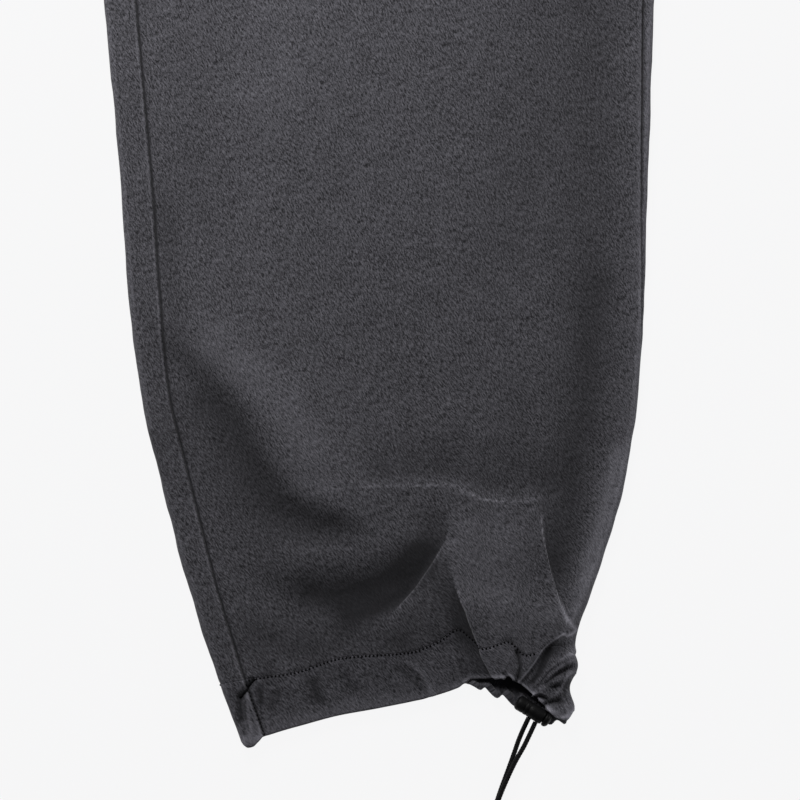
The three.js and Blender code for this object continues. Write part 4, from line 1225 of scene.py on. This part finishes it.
def patch_sheet(leg, part):
    """A flat patch on the leg's front, its edge turned under and sewn down."""
    patch = PATCHES[part]
    cx, cy, lean = pocket_frame()
    across, up, edge = patch_grid(patch["width"], patch["low"] - cy, patch["high"] - cy, patch["corner"])
    x = cx + across * math.cos(lean) + up * math.sin(lean)
    y = cy + up * math.cos(lean) - across * math.sin(lean)
    base = front_height(x, y, leg) + patch_base(part, up + cy)
    share = np.clip(edge / TURNED_EDGE, 0, 1)
    rise = PATCH_THICK * np.sqrt(np.maximum(1 - (1 - share) ** 2, 0)) + patch["puff"] * smooth(edge, 6, 50)
    for seam in patch["seams"]:
        rise = rise - 0.3 * bell(edge - seam, 0.9)
    rise = rise + 0.16 * puckers(across + up) * smooth(16 - edge, 0, 14) * smooth(edge, 1, 3)
    # The turned edge is painted dark at its foot as a contact shadow and paler on its round as wear and
    # highlight, and the stitched grooves are painted darker as shade.
    painted_light_and_wear = 0.5 * bell(edge - 1.7, 0.8) - 0.9 * bell(edge, 0.8)
    for seam in STITCH_GROOVE_SHADE:
        painted_light_and_wear = painted_light_and_wear - 0.4 * bell(edge - seam, 0.8)
    sheet = Sheet(np.stack([x, y, base + rise], 2), np.stack([across, up], 2), painted_light_and_wear)
    sheet.behind = np.stack([x, y, base], 2)
    return sheet


patches = {}
for leg in LEGS:
    for part in PATCHES:
        patches[part, leg["name"]] = patch_sheet(leg, part)
        closed_wall(f"{part}_cloth_{leg['name']}", patches[part, leg["name"]], 0, leg["side"])

# %% [markdown]
# ## Cord lock and knot
#
# A small black lock holds the cord tight: a barrel with two cord holes and a sprung button
# in its end. Both are turned shapes, made by swinging a profile round their axis. The knot
# is the cord itself, wound through an overhand knot with two short tails.

# %% Turned shapes along the lock's axis
LOCK_SIDES = 40
BARREL_PROFILE = [
    (-8, 0), (-8, 2.6), (-7.8, 3.4), (-7.1, 4.2), (-6.2, 4.6), (-2.4, 4.6), (-2.1, 4.35), (-1.5, 4.35),
    (-1.2, 4.6), (0.3, 4.6), (0.6, 4.35), (1.2, 4.35), (1.5, 4.6), (9.6, 4.6), (10.4, 4.45), (11, 4.0),
    (11, 3.2), (10.6, 3.1), (10.6, 0),
]
BUTTON_PROFILE = [
    (10.8, 0), (10.8, 2.9), (11.4, 2.9), (11.5, 3.9), (12.0, 4.5), (13.2, 4.6), (13.9, 4.3), (14.6, 3.7),
    (15.1, 2.8), (15.35, 1.6), (15.4, 0),
]


def turned(name, profile, side):
    """A round closed body along the lock's axis, from (along, radius) pairs."""
    line = smooth_profile(profile)
    turn = np.linspace(0, 2 * np.pi, LOCK_SIDES, endpoint=False)
    lean = math.radians(LOCK["angle"])
    axis = np.array((math.cos(lean), math.sin(lean), 0))
    out = np.array((-math.sin(lean), math.cos(lean), 0))
    ring = np.cos(turn)[:, None] * out + np.sin(turn)[:, None] * (0, 0, 1)
    middle = np.array((LOCK["x"], LOCK["y"], LOCK["z"]))
    points = middle + line[:, :1, None] * axis + line[:, 1:, None] * ring
    around, along = np.arange(LOCK_SIDES + 1), 0.5 * np.arange(len(line))
    closed_tube(name, points, middle + line[[0, -1], :1] * axis, around, along, side)


def smooth_profile(profile):
    """The profile without its two points on the axis, with each span cut in three."""
    line = np.array(profile, float)
    line[[0, -1], 1] = 0.02
    t = np.linspace(0, 1, 3, endpoint=False)[:, None]
    return np.concatenate([*[mix(a, b, t) for a, b in zip(line[:-1], line[1:])], line[-1:]])


KNOT = {"x": 243.6, "y": -93.9, "z": 3.6}
TAIL = [(0, -2.5, -0.6), (-0.6, -6, -1.6), (-1.6, -10, -2.0), (-2.4, -15, -2.0)]


def knot_line(step=0.5):
    """The centre line of an overhand knot, lying flat."""
    t = np.linspace(0, 2 * np.pi, 300)
    x, y, z = np.sin(t) + 2 * np.sin(2 * t), np.cos(t) - 2 * np.cos(2 * t), -np.sin(3 * t)
    line = np.stack([1.05 * x, 1.2 * y, 1.7 * z], 1)
    return smooth_line(line[::10], step) + (KNOT["x"], KNOT["y"], KNOT["z"] + 0.1)


for leg in LEGS:
    name, side = leg["name"], leg["side"]
    turned(f"lock_barrel_{name}", BARREL_PROFILE, side)
    turned(f"lock_button_{name}", BUTTON_PROFILE, side)
    braided_tube(f"cord_knot_{name}", knot_line(), side, 1.4)
    for k, spread in enumerate((-1, 1)):
        tail = [
            (KNOT["x"] + spread * (1.4 - x), KNOT["y"] + y * (1 - 0.1 * k), KNOT["z"] + z) for x, y, z in TAIL
        ]
        braided_tube(f"cord_tail{k}_{name}", smooth_line(tail, 0.5), side)

# %% [markdown]
# ## Stitches by Geometry Nodes
#
# A row of stitches is one short thread, repeated along a path. That is a job for Geometry
# Nodes: the path is a chain of points on the cloth, the tree sets a stitch on it at every
# step, and Realize Instances turns the row into plain mesh. The thread pulls each stitch
# into the cloth, so the row reads as a line of small dark dots.


# %% The stitch tree
def stitch_tree(material):
    """A tree that sets stitches along a chain of edges."""
    tree = bpy.data.node_groups.new("stitches", "GeometryNodeTree")
    tree.interface.new_socket("Geometry", in_out="INPUT", socket_type="NodeSocketGeometry")
    for name in ("Pitch", "Length", "Width"):
        tree.interface.new_socket(name, in_out="INPUT", socket_type="NodeSocketFloat")
    tree.interface.new_socket("Geometry", in_out="OUTPUT", socket_type="NodeSocketGeometry")
    group = node(tree, "NodeGroupInput")
    pitch, length, width = [Flow(group.outputs[name]) for name in ("Pitch", "Length", "Width")]
    path = node(tree, "GeometryNodeMeshToCurve", Mesh=Flow(group.outputs["Geometry"]))
    spots = node(
        tree, "GeometryNodeCurveToPoints", {"mode": "LENGTH"}, Curve=Flow(path.outputs[0]), Length=pitch,
    )
    thread = node(tree, "GeometryNodeMeshUVSphere", Segments=6, Rings=5, Radius=0.5)
    size = node(tree, "ShaderNodeCombineXYZ", X=width, Y=width, Z=length)
    shaped = node(
        tree, "GeometryNodeTransform", Geometry=Flow(thread.outputs[0]), Scale=Flow(size.outputs[0]),
    )
    row = node(
        tree, "GeometryNodeInstanceOnPoints", Points=Flow(spots.outputs["Points"]),
        Instance=Flow(shaped.outputs[0]), Rotation=Flow(spots.outputs["Rotation"]),
    )
    real = node(tree, "GeometryNodeRealizeInstances", Geometry=Flow(row.outputs[0]))
    painted = node(tree, "GeometryNodeSetMaterial", Geometry=Flow(real.outputs[0]), Material=material)
    output = node(tree, "NodeGroupOutput")
    tree.links.new(painted.outputs[0], output.inputs[0])
    return tree


def stitched(name, chains, side, pitch=2.3, length=1.3, width=1.35):
    """One mesh holding the stitches along these chains of points."""
    points = in_frame(np.concatenate(chains), side)
    starts = np.cumsum([0] + [len(chain) for chain in chains])
    edges = [(k, k + 1) for a, b in zip(starts[:-1], starts[1:]) for k in range(a, b - 1)]
    host_mesh = bpy.data.meshes.new(name + "_path")
    host_mesh.from_pydata(points.tolist(), edges, [])
    host = in_scene(name + "_path", host_mesh)
    modifier = host.modifiers.new("stitches", "NODES")
    modifier.node_group = STITCH
    for label, value in (("Pitch", pitch), ("Length", length), ("Width", width)):
        identifier = next(s.identifier for s in STITCH.interface.items_tree if s.name == label)
        modifier[identifier] = value * MM
    evaluated = host.evaluated_get(bpy.context.evaluated_depsgraph_get())
    mesh = bpy.data.meshes.new_from_object(evaluated)
    mesh.name = name
    bpy.data.objects.remove(host)
    mesh.polygons.foreach_set("use_smooth", np.ones(len(mesh.polygons), bool))
    keep(name, mesh)


# %% [markdown]
# ## Finishes
#
# The cloth is a heavy cotton twill, brushed and washed until its face is worn in places. Up
# close it shows three scales: slanting flecks where the yarns lie, a finer salt-and-pepper of
# dyed and undyed fibre, and soft mottling a thumb wide. All three read the cloth's own
# coordinates, so they follow the weave round the edges. Where the wear attribute is above 0
# the cloth is rubbed paler and painted paler as a highlight, and where it is below 0 it is
# painted darker as shade.


# %% Cloth
# The last three tones are painted light: the first darkens cloth as painted shade, the others make it paler
# as wear and painted highlight.
TONES = {
    "plain": 0.32, "weave": 0.6, "mottle": 0.07, "drift": 0.02, "painted_shade": 0.88, "wear_and_highlight": 0.32,
    "strong wear and highlight": 0.6,
}
NAP_DEPTH = 0.00016


def cloth_finish(name, dark, light):
    finish = Finish(name, Roughness=0.92, Sheen_Weight=0.14, Sheen_Roughness=0.45, Specular_IOR_Level=0.2)
    place = finish.flow("ShaderNodeUVMap", "UV", {"uv_map": "cloth"})
    flecks = finish.noise(finish.stretched(place, (0.0008, 0.0027, 1), math.radians(17)), 1.0, 2.0, 0.6)
    twill = finish.noise(finish.stretched(place, (0.0007, 0.0034, 1), math.radians(34)), 1.0, 1.0)
    grain = finish.noise(place, 1050.0, 2.0, 0.75)
    mottle = finish.noise(place, 80.0, 3.0, 0.55)
    drift = finish.noise(place, 14.0, 2.0)
    weave = flecks * 0.75 + grain * 0.5 + twill * 0.3
    # The attribute holds wear and painted light: above 0 the cloth is rubbed paler and painted paler as a
    # highlight, below 0 it is painted darker as shade.
    wear_and_light = finish.attribute("painted_light_and_wear")
    wear_and_highlight = wear_and_light.at_least(0.0)
    painted_shade = wear_and_light - wear_and_highlight
    tone = TONES["plain"] + weave * TONES["weave"] + mottle * TONES["mottle"] + drift * TONES["drift"]
    tone = tone * (1.0 + painted_shade * TONES["painted_shade"])
    tone = tone + wear_and_highlight * TONES["wear_and_highlight"] + wear_and_highlight ** 2 * TONES["strong wear and highlight"]
    finish.tint(tone.at_least(0.0), dark, light)
    finish.bump(weave + mottle * 0.5, NAP_DEPTH, 0.6)
    return finish.material


cloth = cloth_finish("brushed_cloth", (0.012, 0.0117, 0.0136), (0.150, 0.147, 0.167))
casing_cloth = cloth_finish("casing_cloth", (0.011, 0.0108, 0.0128), (0.143, 0.140, 0.160))


# %% Cord, thread and lock
def cord_finish():
    finish = Finish("cord", Roughness=0.8, Sheen_Weight=0.05, Sheen_Roughness=0.4, Specular_IOR_Level=0.15)
    place = finish.flow("ShaderNodeUVMap", "UV", {"uv_map": "cloth"})
    fibre = finish.noise(finish.stretched(place, (0.0002, 0.0012, 1), math.radians(30)), 1.0, 2.0)
    finish.tint((0.5 + fibre * 0.4).clamped(), (0.002, 0.002, 0.0023), (0.011, 0.011, 0.012))
    finish.bump(fibre, 0.00008)
    return finish.material


def thread_finish():
    finish = Finish("thread", Roughness=0.9, Specular_IOR_Level=0.05)
    place = finish.flow("ShaderNodeTexCoord", "Object")
    twist = finish.noise(place, 2500.0, 1.0)
    finish.tint((0.5 + twist * 0.4).clamped(), (0.002, 0.002, 0.002), (0.008, 0.008, 0.009))
    return finish.material


def lock_finish():
    finish = Finish("lock_plastic", Specular_IOR_Level=0.12)
    place = finish.flow("ShaderNodeTexCoord", "Object")
    spark = finish.noise(place, 1400.0, 2.0)
    rub = finish.noise(place, 120.0, 3.0)
    finish.tint((0.5 + rub * 0.3).clamped(), (0.002, 0.002, 0.002), (0.006, 0.006, 0.0065))
    finish.feed("Roughness", 0.5 + rub * 0.08)
    finish.bump(spark, 0.00005, 0.5)
    return finish.material


cord_cloth, thread, lock_plastic = cord_finish(), thread_finish(), lock_finish()

# %% Rows of stitches
STITCH = stitch_tree(thread)
SUNK = -0.02
STITCHES_SHOW = (124, 296)
BARTACKS = [[(127.6, 41.2), (123.8, 37)], [(123.2, 35), (119.2, 30.4)]]
PATCH_LINES = {"pocket": (6, 11), "flap": (6,)}
BAR_STEP, UPPER_SIDE, FAR = 0.5, 2.5, 1000


def draped(ends, sheet):
    """A straight bar of thread between two places, lying on the upper side of a sheet."""
    a, b = np.array(ends, float)
    count = max(2, round(np.linalg.norm(b - a) / BAR_STEP))
    bar = mix(a, b, np.linspace(0, 1, count)[:, None])
    away = np.linalg.norm(sheet.points[None, ..., :2] - bar[:, None, None], axis=3)
    away = away + FAR * (sheet.points[..., 2] < UPPER_SIDE)
    nearest = away.reshape(count, -1).argmin(axis=1)
    return np.column_stack([bar, sheet.points[..., 2].ravel()[nearest] + 0.1])


def on_sheet_points(sheet):
    """The sheet's points, sunk a hair, for thread to lie on."""
    sunk = sheet.points + sheet.normals() * SUNK
    sunk[..., 2] = np.maximum(sunk[..., 2], 0.3)
    return sunk


def sewn_round(sheet, line):
    """A row of stitches down one side of a patch, along its bottom and up the other side."""
    sunk = on_sheet_points(sheet)
    return np.concatenate([sunk[line:, line][::-1], sunk[line, line + 1:-line - 1], sunk[line:, -line - 1]])


for leg in LEGS:
    name, side = leg["name"], leg["side"]
    casing = casings[name]
    hem_row = on_sheet_points(casing)[-2]
    seam_column = on_sheet_points(casing)[4:-4, 0]
    on_top = hem_row[:, 2] > 4
    shown = ~on_top | ((hem_row[:, 0] > STITCHES_SHOW[0]) & (hem_row[:, 0] < STITCHES_SHOW[1]))
    ends = np.flatnonzero(np.diff(shown)) + 1
    rows = [run for run in np.split(hem_row, ends)[int(not shown[0])::2] if len(run) > 1]
    stitched(f"hem_stitches_{name}", rows + [seam_column], side)
    for part, lines in PATCH_LINES.items():
        rows = [sewn_round(patches[part, name], line) for line in lines]
        stitched(f"{part}_stitches_{name}", rows, side, 2.6)
    stitched(f"bartack_{name}", [draped(ends, casing) for ends in BARTACKS], side, 0.5, 1.2, 1.8)

# %% [markdown]
# ## Floor
#
# The floor glows evenly, so that it looks like a lit white sweep from every side.

# %% Floor
FLOOR_HALF = 4.0
FLOOR_HEIGHT = -0.0005
FLOOR_GLOW = 0.915

floor_mesh = bpy.data.meshes.new("floor")
floor_corners = [
    (FLOOR_HALF * x, FLOOR_HALF * y, FLOOR_HEIGHT) for x, y in ((-1, -1), (1, -1), (1, 1), (-1, 1))
]
floor_mesh.from_pydata(floor_corners, [], [(0, 1, 2, 3)])
floor = in_scene("floor", floor_mesh)
floor_finish = Finish(
    "floor_white", Base_Color=(0.02, 0.02, 0.02, 1), Roughness=1.0, Specular_IOR_Level=0.0,
    Emission_Color=(0.995, 0.995, 1.0, 1), Emission_Strength=FLOOR_GLOW,
)
floor_mesh.materials.append(floor_finish.material)

# %% [markdown]
# ## Handing over to the frame
#
# Each piece rides on the garment's one body, and the solid it stands for is hidden. Each
# cord's length is measured along its route.


# %% Riding and standing for solids
DRESSED = [
    ("front_cloth", "front_panel", "brushed_cloth", cloth),
    ("back_cloth", "back_panel", "brushed_cloth", cloth),
    ("casing", "hem_casing", "casing_cloth", casing_cloth),
    ("pocket_cloth", "cargo_pocket", "brushed_cloth", cloth),
    ("flap_cloth", "pocket_flap", "brushed_cloth", cloth),
    ("lock_barrel", "cord_lock_body", "lock_plastic", lock_plastic),
    ("lock_button", "cord_lock_button", "lock_plastic", lock_plastic),
    ("cord_knot", "drawcord_knot", "cord", cord_cloth),
    ("cord_tail0", None, "cord", cord_cloth),
    ("cord_tail1", None, "cord", cord_cloth),
    ("cord_lower", "drawcord_lower", "cord", cord_cloth),
    ("cord_upper", "drawcord_upper", "cord", cord_cloth),
    ("hem_stitches", None, "casing_cloth", None),
    ("bartack", None, "casing_cloth", None),
    ("pocket_stitches", None, "brushed_cloth", None),
    ("flap_stitches", None, "brushed_cloth", None),
]


def hand_over(piece, solid, material):
    """Stitches have their material from the tree, and tails stand for no solid of their own."""
    if material is not None:
        piece.data.materials.append(material)
    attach(piece, "root")
    if solid is not None:
        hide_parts(solid)


for leg in LEGS:
    name = leg["name"]
    for kind, solid, slot, material in DRESSED:
        hand_over(pieces[f"{kind}_{name}"], solid and f"{solid}_{name}", material)
hand_over(pieces["waistband_cloth"], "waistband", casing_cloth)

# %% Cords and sheets
for leg in LEGS:
    name = leg["name"]
    for end in ("lower", "upper"):
        line = cord_routes[f"cord_{end}_{name}"]
        length = float(np.linalg.norm(np.diff(line, axis=0), axis=1).sum())

for leg in LEGS:
    name = leg["name"]
